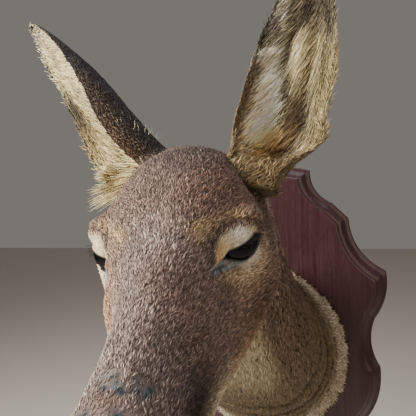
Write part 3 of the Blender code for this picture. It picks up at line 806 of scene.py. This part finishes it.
    # The lie of the coat: from the nose back, spreading over the forehead, round the eyes and down the neck.
    spread = 0.45 * np.sin(angle) * bump(y, 20, 60) * rise(0, 30, z)
    swirl = 0.35 * noise(points, 18, 17) + 0.25 * noise(points, 7, 18)
    axes = eye_axes(1)
    away = axes[1] * np.where(v > 0, 0.9, -0.5)[:, None] + axes[0] * 0.8
    away = (away * np.c_[np.where(x >= 0, 1.0, -1.0), np.ones((len(x), 2))]) @ HEAD_AXES.T
    skin.update(
        colour=np.clip(colour, 0.004, 0.9), bare=bare, glow=glow + 0.30 * lid * near, calm=neck,
        length=length + 5.0 * rise(46, 26, base),
        width=0.46 + 0.08 * rise(0.15, 0.45, share) + 0.68 * neck - 0.12 * lids,
        stand=0.48 + 0.5 * rise(5, 0, board_distance(points)) - 0.12 * neck - 0.18 * lids,
        density=(1.0 + 2.0 * rise(0.52, 0.36, share) + 2.0 * lids) * (1 - rise(0.25, 0.6, bare)),
        lie=(skin["back"] + skin["round"] * spread[:, None] + away * (near * rise(22, 6, d))[:, None]
             + np.array([0, 0, -0.5]) * neck[:, None]
             + skin["round"] * (swirl * (0.4 + 0.6 * neck))[:, None]),
        fur=np.c_[angle * 62, share * 640, np.zeros_like(share)])


def ear_markings(skin, name):
    """Colour, hair length and lie over one ear, by the way up it and across it from inner to outer edge."""
    reach, side, points = skin["reach"], skin["lateral"], skin["point"]
    inside = skin["inside"] > 0.5
    near = name == "ear_left"
    soft = noise(points * (1, 1, 0.35), 9, 21) + 0.6 * noise(points * (1, 1, 0.3), 4, 22)
    inner = paint(
        plain_colour("c4b890", points),
        ("f6f1d6", 0.95 * rise(-0.16, -0.40, side) * rise(0.62, 0.4, reach)),
        ("8f7f58", 0.9 * rise(0.42, 0.7, side) * rise(0.6, 0.4, reach)),
        ("484338", 0.9 * rise(0.46, 0.66, reach + 0.08 * soft) * near),
        ("8d8877", 0.7 * rise(0.80, 0.92, reach)))
    outer = paint(plain_colour("231b1c", points), ("54473c", 0.30 * rise(0.2, 1.0, soft) + 0.1))
    if near:
        # A dark streak wanders up the hollow, with a pale ridge before it and a dark spot at its foot.
        streak = -0.17 + np.interp(reach + 0.05, (0.15, 0.25, 0.36, 0.45, 0.58, 0.70, 0.82),
                                   (0.26, 0.15, -0.05, -0.26, -0.28, 0.05, 0.1))
        wide = np.interp(reach, (0.15, 0.25, 0.45, 0.6, 0.8), (0.16, 0.20, 0.19, 0.16, 0.26))
        ridge = bump(side, -0.84 + 0.04 * soft, 0.12) * between(reach, 0.32, 0.40, 0.8, 0.95)
        front = side - 0.06 * soft
        inner = paint(
            inner,
            ("2b2119", 0.96 * bump(side, streak + 0.05 * soft, wide) * rise(0.92, 0.75, reach)),
            ("ddd6c3", 0.85 * ridge),
            ("382a2b", 0.97 * bump(side, 0.30, 0.14) * bump(reach, 0.15, 0.11)),
            ("6e5d45", 0.7 * bump(side, 0.14, 0.13) * between(reach, 0.03, 0.10, 0.4, 0.6)),
            ("dcae72", 0.85 * bump(reach, 0.04, 0.05) * bump(side, -0.22, 0.36)),
            ("c99a60", 0.5 * bump(side, -0.66, 0.10) * rise(0.40, 0.2, reach)),
            ("5f4a33", 0.92 * rise(-0.70, -0.80, front) * rise(0.44, 0.36, reach)),
            ("1f1917", 0.92 * rise(-0.80, -0.86, front) * bump(reach, 0.54, 0.15)),
            ("7d6a4a", 0.9 * rise(0.03, -0.03, reach + 0.02 * soft)),
            ("40301f", 0.6 * rise(0.06, 0.0, reach) * rise(0.3, 1.0, noise(points, 5, 24))))
        outer = paint(outer, ("7d5f3e", 0.8 * rise(-0.35, -0.9, side) * rise(0.75, 0.35, reach)),
                      ("75654a", 0.85 * rise(0.22, 0.08, reach)))
    else:
        inner = paint(inner, ("d0c090", 0.7 * rise(0.3, 0.10, reach)),
                      # Painted shade in the hollow along its outer edge, halfway up.
                      ("332d29", 0.9 * rise(0.66, 0.82, side) * bump(reach, 0.50, 0.14)))
        outer = paint(outer, ("6a4c30", 0.5 * rise(-0.80, -0.97, side) * rise(0.22, 0.05, reach)),
                      ("4d3d2e", 0.5 * rise(-0.5, -0.9, side) * rise(0.6, 0.3, reach)))
    outer = paint(outer, ("1c1817", 0.9 * rise(0.90, 0.98, np.abs(side)) * rise(0.45, 0.6, reach)))
    pale = 0.8 * rise(0.9, 1.0, side) * between(reach, 0.08, 0.16, 0.6, 0.75) * near
    colour = paint(np.where(inside[:, None], inner, outer), ("b5a67c", pale))
    sideways = np.where(inside, 0.35 + 0.25 * np.sin(reach * 9), 0.0) + 0.3 * noise(points, 14, 23)
    skin.update(
        colour=np.clip(colour, 0.004, 0.9), bare=np.zeros_like(reach),
        length=np.where(inside, 9.0, 5.0) * (1 - 0.45 * rise(0.8, 0.95, reach)),
        width=np.where(inside, 0.8, 0.85), stand=np.full_like(reach, 0.28),
        density=np.where(inside, 0.6, 1.0) * rise(-0.13, -0.10, reach),
        lie=skin["back"] + skin["round"] * sideways[:, None],
        fur=np.c_[side * 50 + 400 * skin["inside"], reach * EAR_LENGTH, np.zeros_like(reach)])


# ---- Meshes and materials ----

ATTRIBUTE_KINDS = {1: ("FLOAT", "value"), 3: ("FLOAT_VECTOR", "vector"), 4: ("FLOAT_COLOR", "color")}


def put_mesh(name, points, triangles, material, maps=None, **fields):
    """A smooth mesh object from points in mm and triangles, with point attributes and the map for baking."""
    mesh = bpy.data.meshes.new(name)
    mesh.vertices.add(len(points))
    mesh.vertices.foreach_set("co", (points * MM).astype(np.float32).ravel())
    corners = triangles.astype(np.int32).ravel()
    mesh.loops.add(len(corners))
    mesh.loops.foreach_set("vertex_index", corners)
    mesh.polygons.add(len(triangles))
    mesh.polygons.foreach_set("loop_start", np.arange(0, len(corners), 3, dtype=np.int32))
    mesh.update(calc_edges=True)
    mesh.shade_smooth()
    for key, values in fields.items():
        if key == "colour":
            values = np.c_[values, np.ones(len(values))]
        kind, slot = ATTRIBUTE_KINDS[values.shape[1] if values.ndim > 1 else 1]
        layer = mesh.attributes.new(key, kind, "POINT")
        layer.data.foreach_set(slot, values.astype(np.float32).ravel())
    if maps is not None:
        mesh.uv_layers.new(name="OFBake").uv.foreach_set("vector", maps.astype(np.float32).ravel())
    mesh.materials.append(material)
    made = bpy.data.objects.new(name, mesh)
    bpy.context.scene.collection.objects.link(made)
    return made


def add(tree, node, output=0, settings=(), **inputs):
    """Add a node, or take one that is there, set its properties, and set or link its inputs.

    Inputs are named, or numbered as i0, i1. The result is one of the node's outputs.
    """
    if isinstance(node, str):
        node = tree.nodes.new("ShaderNode" + node)
    for key, value in dict(settings).items():
        setattr(node, key, value)
    for key, value in inputs.items():
        socket = node.inputs[int(key[1:]) if key[1:].isdigit() else key.replace("_", " ")]
        if isinstance(value, bpy.types.NodeSocket):
            tree.links.new(value, socket)
        else:
            socket.default_value = value
    return node.outputs[output] if len(node.outputs) else None


def material(name, **values):
    """A new Principled material with values on its sockets, as its tree and its shader."""
    made = bpy.data.materials.new(name)
    made.use_nodes = True
    shader = made.node_tree.nodes["Principled BSDF"]
    add(made.node_tree, shader, **values)
    return made, made.node_tree, shader


def painted_material(name, **values):
    """A material that takes its colour from the mesh's own."""
    made, tree, shader = material(name, **values)
    add(tree, shader, Base_Color=add(tree, "Attribute", "Color", {"attribute_name": "colour"}))
    return made


def rgba(tone):
    """A hex colour as a colour socket's value."""
    return (*linear(tone), 1)


NUMBERS, COLOURS = {"data_type": "FLOAT"}, {"data_type": "RGBA"}
SHADES = {"data_type": "RGBA", "blend_type": "MULTIPLY"}


def hide_material():
    """Tanned hide under short hair: matt, streaked along the lie; bare skin is smoother and pebbled."""
    made, tree, shader = material("short_haired_hide", Specular_IOR_Level=0.35)
    colour = add(tree, "Attribute", "Color", {"attribute_name": "colour"})
    bare = add(tree, "Attribute", "Fac", {"attribute_name": "bare"})
    # Hairs 0.5 mm apart and 5 mm long, drawn a little coarser than real ones.
    place = add(tree, "Attribute", "Vector", {"attribute_name": "fur"})
    stretched = add(tree, "Mapping", i0=place, Scale=(1.9, 0.28, 1.0))
    hairs = add(tree, "TexNoise", i0=stretched, Scale=1.0, Detail=3.0, Roughness=0.65)
    # Pebbles of bare skin 2 mm across.
    pebbles = add(tree, "TexVoronoi", Vector=add(tree, "TexCoord", "Object"), Scale=520.0)
    # The hairs' streaks darken the skin to 0.22 to 0.95 of its colour: partly the dark undercoat, partly
    # painted shade in the gaps between the tufts. Bare skin keeps its colour.
    shade = add(tree, "MapRange", Value=hairs, From_Min=0.35, From_Max=0.65, To_Min=0.22, To_Max=0.95)
    shade = add(tree, "Mix", 0, NUMBERS, i0=bare, i2=shade, i3=1.0)
    relief = add(tree, "Mix", 0, NUMBERS, i0=bare, i2=hairs, i3=pebbles)
    add(tree, shader, Base_Color=add(tree, "Mix", 2, SHADES, i0=1.0, i6=colour, i7=shade),
        Roughness=add(tree, "MapRange", Value=bare, To_Min=0.78, To_Max=0.42),
        Normal=add(tree, "Bump", Height=relief, Strength=0.7, Distance=0.0006))
    return made


def wood_material():
    """Mahogany stained red-brown under satin lacquer: straight grain up the board, fine dark pores."""
    made, tree, shader = material("stained_mahogany", Specular_IOR_Level=0.2,
                                  Coat_Weight=0.3, Coat_Roughness=0.15)
    here = add(tree, "TexCoord", "Object")
    # Grain lines about 3 mm apart running up the board, and pores 0.6 mm across and 12 mm long.
    bands = add(tree, "Mapping", i0=here, Scale=(330.0, 80.0, 9.0))
    grain = add(tree, "TexNoise", i0=bands, Scale=1.0, Detail=4.0, Roughness=0.6)
    lines = add(tree, "Mapping", i0=here, Scale=(1500.0, 400.0, 80.0))
    pores = add(tree, "TexNoise", i0=lines, Scale=1.0, Detail=2.0)
    broad = add(tree, "TexNoise", Vector=here, Scale=14.0, Detail=2.0)
    ramp = add(tree, "MapRange", Value=grain, From_Min=0.3, From_Max=0.7)
    wide = add(tree, "MapRange", Value=broad, From_Min=0.35, From_Max=0.7, To_Min=0.0, To_Max=0.55)
    dark = add(tree, "MapRange", Value=pores, From_Min=0.35, From_Max=0.5, To_Min=0.62, To_Max=1.0)
    stain = add(tree, "Mix", 2, COLOURS, i0=ramp, i6=rgba("301c1f"), i7=rgba("472f33"))
    stain = add(tree, "Mix", 2, COLOURS, i0=wide, i6=stain, i7=rgba("331f1d"))
    add(tree, shader, Base_Color=add(tree, "Mix", 2, SHADES, i0=1.0, i6=stain, i7=dark),
        Roughness=add(tree, "MapRange", Value=broad, To_Min=0.28, To_Max=0.46),
        Normal=add(tree, "Bump", Height=dark, Strength=0.12, Distance=0.0002))
    return made


HIDE = hide_material()
# Deer hair: hollow crimped hairs, matt with a slight silky gloss, dark at the root and pale at the tip.
HAIR = painted_material("deer_hair", Roughness=0.62, Specular_IOR_Level=0.30)
# Glass taxidermy eye: dark iris painted behind clear domed glass, so a deep wet gloss.
GLASS = painted_material("glass_eye", Roughness=0.3, Specular_IOR_Level=0.0,
                         Coat_Weight=0.3, Coat_Roughness=0.03)


# ---- Coat ----

# Numbers of tufts: for each piece of the body's coat, and for an ear's coat, down, ruff and rim.
BODY_PIECE_TUFTS, EAR_TUFTS, DOWN_TUFTS, RUFF_TUFTS, RIM_TUFTS = 21000, 11000, 8000, 3000, 2600
EDGE_TUFTS = 8000  # along the hide's cut edge
COAT_DISORDER, COAT_DROOP = 0.30, 0.28  # sideways scatter of the lie, and how far short hair settles
COAT_SIZES = (0.75, 1.2)  # smallest and largest tuft, as shares of the local length and width
ROOT_DEPTH = 0.4  # of a lock's root under the skin
ROOT_SHADE, TIP_SHADE, PALE_TIP_SHADE, PALE_TIP = 0.30, 1.25, 1.6, "b8a48c"
TIP_GLOW = 0.17  # how much pale colour a pale tip adds
BAKE_PATCH = 0.003  # size of a lock's patch on the bake map
SEAM_JUMP = 0.25  # a step on the bake map as wide as this crosses its seam
COAT_NAMES = ("coat_muzzle", "coat_nose_bridge", "coat_cheeks", "coat_eyes", "coat_forehead", "coat_crown",
              "coat_throat", "coat_neck")


def scatter(skin, triangles, count, weight):
    """Random roots over a skin: each picks a triangle by area and weight, then a place in it.

    Returns the skin's values at the roots, blended from the triangle's corners.
    """
    a, b, c = (skin["point"][triangles[:, k]] for k in range(3))
    area = np.linalg.norm(np.cross(b - a, c - a), axis=1) / 2
    share = np.cumsum(area * weight[triangles].mean(axis=1))
    picked = np.searchsorted(share, RANDOM.random(count) * share[-1])
    corners = triangles[np.minimum(picked, len(triangles) - 1)]
    first, second = np.sqrt(RANDOM.random(count)), RANDOM.random(count)
    mix = np.c_[1 - first, first * (1 - second), first * second]
    values = {}
    for key, data in skin.items():
        at = data[corners]
        if key == "map":
            at = np.where(np.abs(at - at[:, :1]) > SEAM_JUMP, at[:, :1], at)
        values[key] = np.einsum("nk,nk...->n...", mix, at)
    values["normal"] = unit(values["normal"])
    return values


def locks(name, hair, lie, length, width, stand, droop, tones, rings=1):
    """One mesh of tapering closed locks, each a three-sided spindle from its root to its tip.

    The middle line leaves the skin at the stand angle over the lie and settles by the droop angle towards
    the tip. Rings of three points lie round it, the first the widest. The tones are those of the roots and of
    the tips.
    """
    roots, normal = hair["point"], hair["normal"]
    count = len(roots)
    length, width, stand, droop = (np.broadcast_to(values, count) for values in (length, width, stand, droop))
    lie = unit(lie - normal * np.sum(lie * normal, axis=1, keepdims=True))
    side = np.cross(lie, normal)
    steps = np.linspace(0, 1, rings + 2)
    centres = [roots - normal * ROOT_DEPTH]
    for a, b in zip(steps[:-1], steps[1:]):
        angle = (stand - droop * (a + b) / 2)[:, None]
        way = lie * np.cos(angle) + normal * np.sin(angle)
        centres.append(centres[-1] + way * (length * (b - a))[:, None])
    parts, colours = [centres[0][:, None]], [tones[0][:, None]]
    for k in range(1, rings + 1):
        thick = (width * (1.0 if k == 1 else 0.75 * (1 - steps[k]) + 0.25) / 2)[:, None]
        ring = [centres[k] + side * thick, centres[k] - side * thick, centres[k] + normal * thick * 0.9]
        parts.append(np.stack(ring, axis=1))
        shade = tones[0] + (tones[1] - tones[0]) * (0.25 + 0.75 * steps[k])
        colours.append(np.repeat(shade[:, None], 3, axis=1))
    points = np.concatenate(parts + [centres[-1][:, None]], axis=1)
    colours = np.concatenate(colours + [tones[1][:, None]], axis=1)
    each = points.shape[1]
    faces = []
    for k, j in ((0, 1), (1, 2), (2, 0)):
        faces.append((0, 1 + j, 1 + k))
        for low in range(1, each - 4, 3):
            faces += [(low + k, low + j, low + 3 + j), (low + k, low + 3 + j, low + 3 + k)]
        faces.append((each - 1, each - 4 + k, each - 4 + j))
    faces = np.array(faces)
    a, b, c = (points[0][faces[:, k]] for k in range(3))
    if np.sum(np.cross(a, b) * c) < 0:
        faces = faces[:, ::-1]
    triangles = (np.arange(count)[:, None, None] * each + faces[None]).reshape(-1, 3)
    # The bake map: a small patch at the root's place, across it the lock's three sides.
    levels = np.concatenate([[0], np.repeat(steps[1:-1], 3), [1]])
    across = np.concatenate([[0.5], np.tile([0, 1, 0.5], rings), [0.5]])
    patch = np.c_[across, levels] * BAKE_PATCH - BAKE_PATCH / 2
    maps = (hair["map"][:, None] + patch[None]).reshape(-1, 2)[triangles.ravel()]
    return put_mesh(name, points.reshape(-1, 3), triangles, HAIR, maps,
                    colour=np.clip(colours.reshape(-1, 3), 0.003, 0.95))


def hair_tones(colour, count, ticking, contrast, glow=TIP_GLOW, root_gain=1.0):
    """Root and tip colours of hairs: each its own brightness, and a share of them with pale tips."""
    tone = np.exp(RANDOM.normal(0, contrast, count))[:, None]
    pale = (RANDOM.random(count) < ticking)[:, None]
    tip = colour * tone * TIP_SHADE
    tip = np.where(pale, tip * PALE_TIP_SHADE + linear(PALE_TIP) * np.reshape(glow, (-1, 1)), tip)
    return colour * tone * ROOT_SHADE * root_gain, tip


def coat_of(skin, triangles, count, names, ticking=0.32, contrast=0.50):
    """Short coat over a skin, as pieces of equal numbers of tufts in order from the nose back."""
    hair = scatter(skin, triangles, count, skin["density"])
    lie = unit(hair["lie"]) + unit(hair["round"]) * RANDOM.normal(0, COAT_DISORDER, count)[:, None]
    calm = hair.get("calm", np.zeros(count))
    tones = hair_tones(hair["colour"], count, ticking * (1 - 0.6 * calm), contrast * (1 - 0.55 * calm),
                       hair.get("glow", TIP_GLOW))
    size = RANDOM.uniform(*COAT_SIZES, count)
    order = np.argsort(hair["share" if "share" in hair else "reach"])
    made = []
    for name, part in zip(names, np.array_split(order, len(names))):
        some = {key: values[part] for key, values in hair.items()}
        made.append(locks(name, some, lie[part], (hair["length"] * size)[part], (hair["width"] * size)[part],
                          some["stand"], COAT_DROOP, [tone[part] for tone in tones]))
    return made


def join_skins(skins):
    """One skin of several: their arrays and triangles after one another."""
    keys = ("point", "colour", "bare", "fur", "map")
    joined = {key: np.concatenate([skin[key] for skin, _ in skins]) for key in keys}
    starts = np.cumsum([0] + [len(skin["point"]) for skin, _ in skins])
    return joined, np.concatenate([tri + start for (_, tri), start in zip(skins, starts)])


def corner_maps(skin, triangles):
    """The bake map at the triangles' corners, unbroken where a triangle crosses the seam."""
    maps = skin["map"][triangles]
    first = maps[:, :1]
    jumps = np.abs(maps - first) > SEAM_JUMP
    maps = maps - np.where(jumps, np.sign(maps - first) * BODY_MAP_WIDTH * np.array([1, 0]), 0)
    return maps.reshape(-1, 2)


body, body_triangles = body_skin()
body_markings(body)
ears = {name: ear_skin(name) for name in EARS}
for name, (ear, _) in ears.items():
    ear_markings(ear, name)

whole, whole_triangles = join_skins([(body, body_triangles), *ears.values()])
hide = put_mesh("hide", whole["point"], whole_triangles, HIDE, corner_maps(whole, whole_triangles),
                colour=whole["colour"], bare=whole["bare"], fur=whole["fur"])
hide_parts("neck", "head", "muzzle", "lower_jaw", "nose", "ear_left", "ear_right")

coats = coat_of(body, body_triangles, BODY_PIECE_TUFTS * len(COAT_NAMES), COAT_NAMES)
for name, skin in ears.items():
    coats += coat_of(*skin, EAR_TUFTS, (name + "_coat",), ticking=0.15, contrast=0.42)


def ear_down(name, ear, triangles):
    """Long soft hair inside an ear and along its edges, sweeping up and to the outer edge."""
    near = name == "ear_left"
    reach, side = ear["reach"], ear["lateral"]
    weight = ear["inside"] * rise(0.0, 0.06, reach) * rise(1.0, 0.8, reach)
    bald = 0.9 * bump(side, 0.36, 0.14) * bump(reach, 0.17, 0.11)
    if near:
        weight = weight * np.maximum(rise(-0.80, -0.66, side), rise(0.34, 0.44, reach))
        bald = bald + 0.6 * bump(side, 0.10, 0.10) * rise(0.42, 0.34, reach)
    weight = weight * rise(0.99, 0.93, np.abs(side)) * (1 - np.clip(bald, 0, 0.97))
    hair = scatter(ear, triangles, DOWN_TUFTS, weight)
    reach, side = hair["reach"], hair["lateral"]
    sideways = (0.25 + 0.45 * RANDOM.random(DOWN_TUFTS)) * (1 - 0.7 * rise(0.4, 0.9, side))
    tuft = rise(0.16, 0.06, reach) * rise(0.3, 0.8, side) * (not near)
    lie = hair["back"] * (1 - 0.8 * tuft)[:, None] + hair["round"] * (sideways + 0.9 * tuft)[:, None]
    shade = 1.5 - 0.75 * rise(-0.3, 0.3, side) if near else np.full(DOWN_TUFTS, 0.92)
    tones = hair_tones(hair["colour"] * shade[:, None], DOWN_TUFTS, 0.1, 0.36, root_gain=2.0)
    length = (16 + 13 * RANDOM.random(DOWN_TUFTS)) * (1 - 0.60 * rise(0.45, 0.90, reach))
    length = length * (1 - 0.60 * rise(0.35, 0.9, side) * (1 - tuft)) * (1 + 0.4 * tuft)
    stand = 0.30 + 0.25 * RANDOM.random(DOWN_TUFTS)
    return locks(name + "_down", hair, lie, length, 0.9, stand, 0.45, tones, rings=2)


def ear_ruff(name, ear, triangles):
    """Rough tan and dark hair round an ear's base, hiding where it rises from the head."""
    near = name == "ear_left"
    weight = rise(-0.14, -0.10, ear["reach"]) * rise(0.06, 0.0, ear["reach"])
    if not near:
        weight = weight * np.where(ear["inside"] > 0.5, 0.0, rise(0.97, 0.85, np.abs(ear["lateral"])))
    hair = scatter(ear, triangles, RUFF_TUFTS, weight)
    waves = 0.6 * np.sin(hair["reach"] * 70 + 3 * hair["lateral"]) + RANDOM.normal(0, 0.35, RUFF_TUFTS) + 0.3
    dark = 0.9 - 0.65 * rise(0.0, 0.8, noise(hair["point"], 6, 27))
    long = 1.0 if near else 0.55
    tones = hair_tones(hair["colour"] * dark[:, None], RUFF_TUFTS, 0.06 * long, 0.50)
    lie = hair["back"] + hair["round"] * waves[:, None]
    length, stand = RANDOM.uniform(6, 11, RUFF_TUFTS) * long, RANDOM.uniform(0.1, 0.4, RUFF_TUFTS)
    return locks(name + "_ruff", hair, lie, length, 0.8, stand, 0.7, tones, rings=2)


def ear_fringe(name, ear, triangles):
    """Hairs along an ear's rim, standing out past its edge."""
    near = name == "ear_left"
    weight = rise(0.93, 0.99, np.abs(ear["lateral"])) * rise(0.03, 0.1, ear["reach"])
    hair = scatter(ear, triangles, RIM_TUFTS, weight * (1 + 1.5 * rise(0.9, 1, ear["lateral"])))
    reach, side = hair["reach"], hair["lateral"]
    outward = hair["round"] * np.sign(side)[:, None]
    free = RANDOM.uniform(0.2, 0.7, RIM_TUFTS) * np.where(side < 0, 0.35, 1.0)
    # The rear rim of the far ear is as dark as its back.
    colour = hair["colour"] if near else np.where(side[:, None] < 0, linear("2a2222"), hair["colour"])
    tones = hair_tones(colour, RIM_TUFTS, 0.1, 0.3, root_gain=1.3)
    long_side = rise(0.0, 1.0, side) * rise(0.7, 0.3, reach)
    lie = hair["back"] + outward * free[:, None] + outward * (0.8 * long_side * near)[:, None]
    length = 3.0 + (10 if near else 3) * RANDOM.random(RIM_TUFTS) * long_side
    length = length * (1 - 0.4 * rise(0.85, 1.0, reach))
    return locks(name + "_fringe", hair, lie, length, 0.7, 0.1, 0.1, tones)


for name, skin in ears.items():
    coats += [make(name, *skin) for make in (ear_down, ear_fringe, ear_ruff)]


def hide_fringe():
    """Short stiff pale hair at the hide's cut edge, standing out over the board."""
    edge = board_distance(body["point"])
    hair = scatter(body, body_triangles, EDGE_TUFTS, rise(38, 20, edge) * rise(0.2, 1.0, edge))
    lie = hair["back"] + hair["round"] * RANDOM.normal(0, 0.5, EDGE_TUFTS)[:, None]
    tones = hair_tones(hair["colour"], EDGE_TUFTS, 0.2, 0.25, root_gain=1.6)
    return locks("coat_hide_edge", hair, lie, RANDOM.uniform(6, 12, EDGE_TUFTS), 1.3,
                 RANDOM.uniform(0.3, 1.3, EDGE_TUFTS), 0.8, tones)


coats.append(hide_fringe())


# ---- Eyes ----

EYE_RINGS, EYE_SLICES = 40, 48
DOME_HEIGHT, DOME_ANGLE = 0.5, 0.55  # of the cornea, over the ball
IRIS_EDGE = (11.5, 9.5)
PUPIL = (6.5, 3.8)  # half length and half height
LASH_COUNTS = {"lashes_left": 46, "lashes_right": 16}


def eyeball(name, side):
    """A glass eye: a ball with a slightly domed front, its iris and level pupil by the way off the axis."""
    polar = np.linspace(0.02, math.pi - 0.02, EYE_RINGS)[:, None]
    turns = np.linspace(0, 2 * math.pi, EYE_SLICES, endpoint=False)[None, :]
    radius = EYE_RADIUS + DOME_HEIGHT * np.exp(-(polar / DOME_ANGLE) ** 2) - DOME_HEIGHT
    local = np.stack([radius * np.sin(polar) * np.cos(turns), radius * np.sin(polar) * np.sin(turns),
                      radius * np.cos(polar) + 0 * turns], axis=-1)
    points, triangles = capped(out_of_eye(local, side))
    u, v, w = extend(local, local.shape[:2]).T
    pupil = rise(1.15, 0.85, np.hypot(u / PUPIL[0], v / PUPIL[1])) * (w > 0)
    colour = paint(plain_colour("07080e", u), ("0c0a0e", rise(*IRIS_EDGE, np.hypot(u, v)) * (w > 0)),
                   ("050608", pupil))
    return put_mesh(name, points, triangles, GLASS, None, colour=colour)


def lashes(name, side):
    """Upper lashes: thin dark hairs along the edge of the upper lid, curving out and back."""
    count = LASH_COUNTS[name]
    u = RANDOM.uniform(-8, 14, count)
    v = upper_edge(u, side) + RANDOM.uniform(0.2, 0.9, count)
    roots = out_of_eye(np.c_[u, v, ball_height(u, v, 150) + LID_LIFT], side)
    to_row = eye_axes(side) @ HEAD_AXES.T
    lie = np.c_[0.3 + 0.03 * u, np.full(count, -0.25), np.ones(count)] @ to_row
    hair = {"point": roots, "normal": np.tile([0.0, 1.0, 0.1], (count, 1)) @ to_row,
            "map": np.tile([0.64, 0.5], (count, 1))}
    dark = plain_colour("181413", u)
    return locks(name, hair, lie, RANDOM.uniform(4, 7, count), 0.32, -0.2, -0.7, (dark, dark), rings=2)


eyes = [eyeball("glass_eye_left", 1), eyeball("glass_eye_right", -1)]
for ball, node in zip(eyes, ("eye_left", "eye_right")):
    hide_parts(node)
lash_rows = [lashes("lashes_left", 1), lashes("lashes_right", -1)]


# ---- Board ----

def square_in(ways):
    """Unit vectors at right angles to ways along the outline, turned in towards the board."""
    return unit(np.c_[ways[:, 1], -ways[:, 0]])


def board_ring(distance):
    """The board's outline as (x, z) points, moved in by a distance, with mitred corners.

    The right half is a chain of parabolas over the chords between its corners. A corner moves by the sum of
    its two edges' inward normals over one plus their product. A parabola's middle moves by its own normal.
    The left half is the mirror of the right.
    """
    corners = np.array([place for place, _ in BOARD_OUTLINE], float)
    chords = np.diff(corners, axis=0)
    rises = np.c_[-chords[:, 1], chords[:, 0]] * np.array([bow for _, bow in BOARD_OUTLINE[:-1]])[:, None]
    leaving, arriving = square_in(chords + 4 * rises), square_in(chords - 4 * rises)
    before = np.vstack([leaving[:1] * (-1, 1), arriving])
    after = np.vstack([leaving, arriving[-1:] * (-1, 1)])
    moved = corners + distance * (before + after) / (1 + np.sum(before * after, axis=1, keepdims=True))
    middles = corners[:-1] + chords / 2 + rises + distance * square_in(chords)
    t = np.linspace(0, 1, BOARD_ARC_STEPS, endpoint=False)[None, :, None]
    start, end, middle = moved[:-1, None], moved[1:, None], middles[:, None]
    half = start * (1 - t) * (1 - 2 * t) + middle * 4 * t * (1 - t) + end * t * (2 * t - 1)
    half = np.vstack([half.reshape(-1, 2), moved[-1:]])
    return np.vstack([half, (half * (-1, 1))[-2:0:-1]])


def shield_board():
    """The board: its outline carried through the moulding's steps to the flat face and the flat back."""
    rings = [np.insert(board_ring(distance), 1, -height, axis=1) for distance, height in BOARD_MOULDING]
    rings += [rings[-1] * (shrink, 1, shrink) for shrink in (0.7, 0.3)]
    points, triangles = capped(np.array(rings))
    points[-2:] = (0, 0, 20), (0, -BOARD_THICKNESS, 0)
    return put_mesh("shield_board", points, triangles, wood_material())


board = shield_board()
board.data.set_sharp_from_angle(angle=math.radians(40))
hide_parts("board")

for piece in (hide, *coats, *eyes, *lash_rows, board):
    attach(piece, "root")


# ---- Floor, light and camera ----

FLOOR_DROP, FLOOR_REACH = 500, 6000
# Soft square lights: name, place, target, size, power and colour.
LIGHTS = (
    ("window", (-1150, -1150, 900), (0, -350, 180), 800, 92, "fff6ec"),
    ("room", (1100, -900, 500), (0, -200, 100), 1200, 7, "ffe9d2"),
    ("sky", (200, 300, 1500), (0, -200, 100), 1500, 12, "e6eeff"),
)
ROOM_COLOUR, ROOM_STRENGTH = "d8d2ca", 0.28
CAMERA_PLACE, CAMERA_TURNS = (130.0, -690.0, 237.0), (17.4, -2.8, 2.3)
CAMERA_LENS, CAMERA_SENSOR, CAMERA_NEAREST = 39.375, 36.0, 0.01

floor_z = np.array(cad_box[0])[2] / MM - FLOOR_DROP
corners = np.array([(-1, -1), (1, -1), (1, 1), (-1, 1)], float) * FLOOR_REACH
corners = np.insert(corners, 2, floor_z, axis=1)
# Matt painted board, plain and pale.
paint_finish = material("pale_floor", Base_Color=rgba("cfcac2"), Roughness=0.9)[0]
put_mesh("floor", corners, np.array([(0, 1, 2), (0, 2, 3)]), paint_finish)


def stand_at(name, data, axes, place):
    """Put a light or camera at a place in mm, with its right, up and backward axes as rows."""
    matrix = np.eye(4)
    matrix[:3, :3], matrix[:3, 3] = np.array(axes).T, np.array(place) * MM
    made = bpy.data.objects.new(name, data)
    made.matrix_world = Matrix(matrix)
    bpy.context.scene.collection.objects.link(made)
    return made


for name, place, target, size, power, colour in LIGHTS:
    light = bpy.data.lights.new(name, "AREA")
    light.size, light.energy, light.color = size * MM, power, linear(colour)
    way = unit(np.array(target, float) - np.array(place, float))
    side = unit(np.cross(way, (0, 0, 1)))
    stand_at(name, light, (side, np.cross(side, way), -way), place)

world = bpy.data.worlds.new("pale_room")
world.use_nodes = True
add(world.node_tree, world.node_tree.nodes["Background"], Color=rgba(ROOM_COLOUR), Strength=ROOM_STRENGTH)
bpy.context.scene.world = world

view = turn(2, CAMERA_TURNS[0]) @ turn(0, CAMERA_TURNS[1]) @ turn(1, CAMERA_TURNS[2])
lens = bpy.data.cameras.new("camera")
lens.sensor_width, lens.lens, lens.clip_start = CAMERA_SENSOR, CAMERA_LENS, CAMERA_NEAREST
bpy.context.scene.camera = stand_at("camera", lens, (view[:, 0], view[:, 2], -view[:, 1]), CAMERA_PLACE)
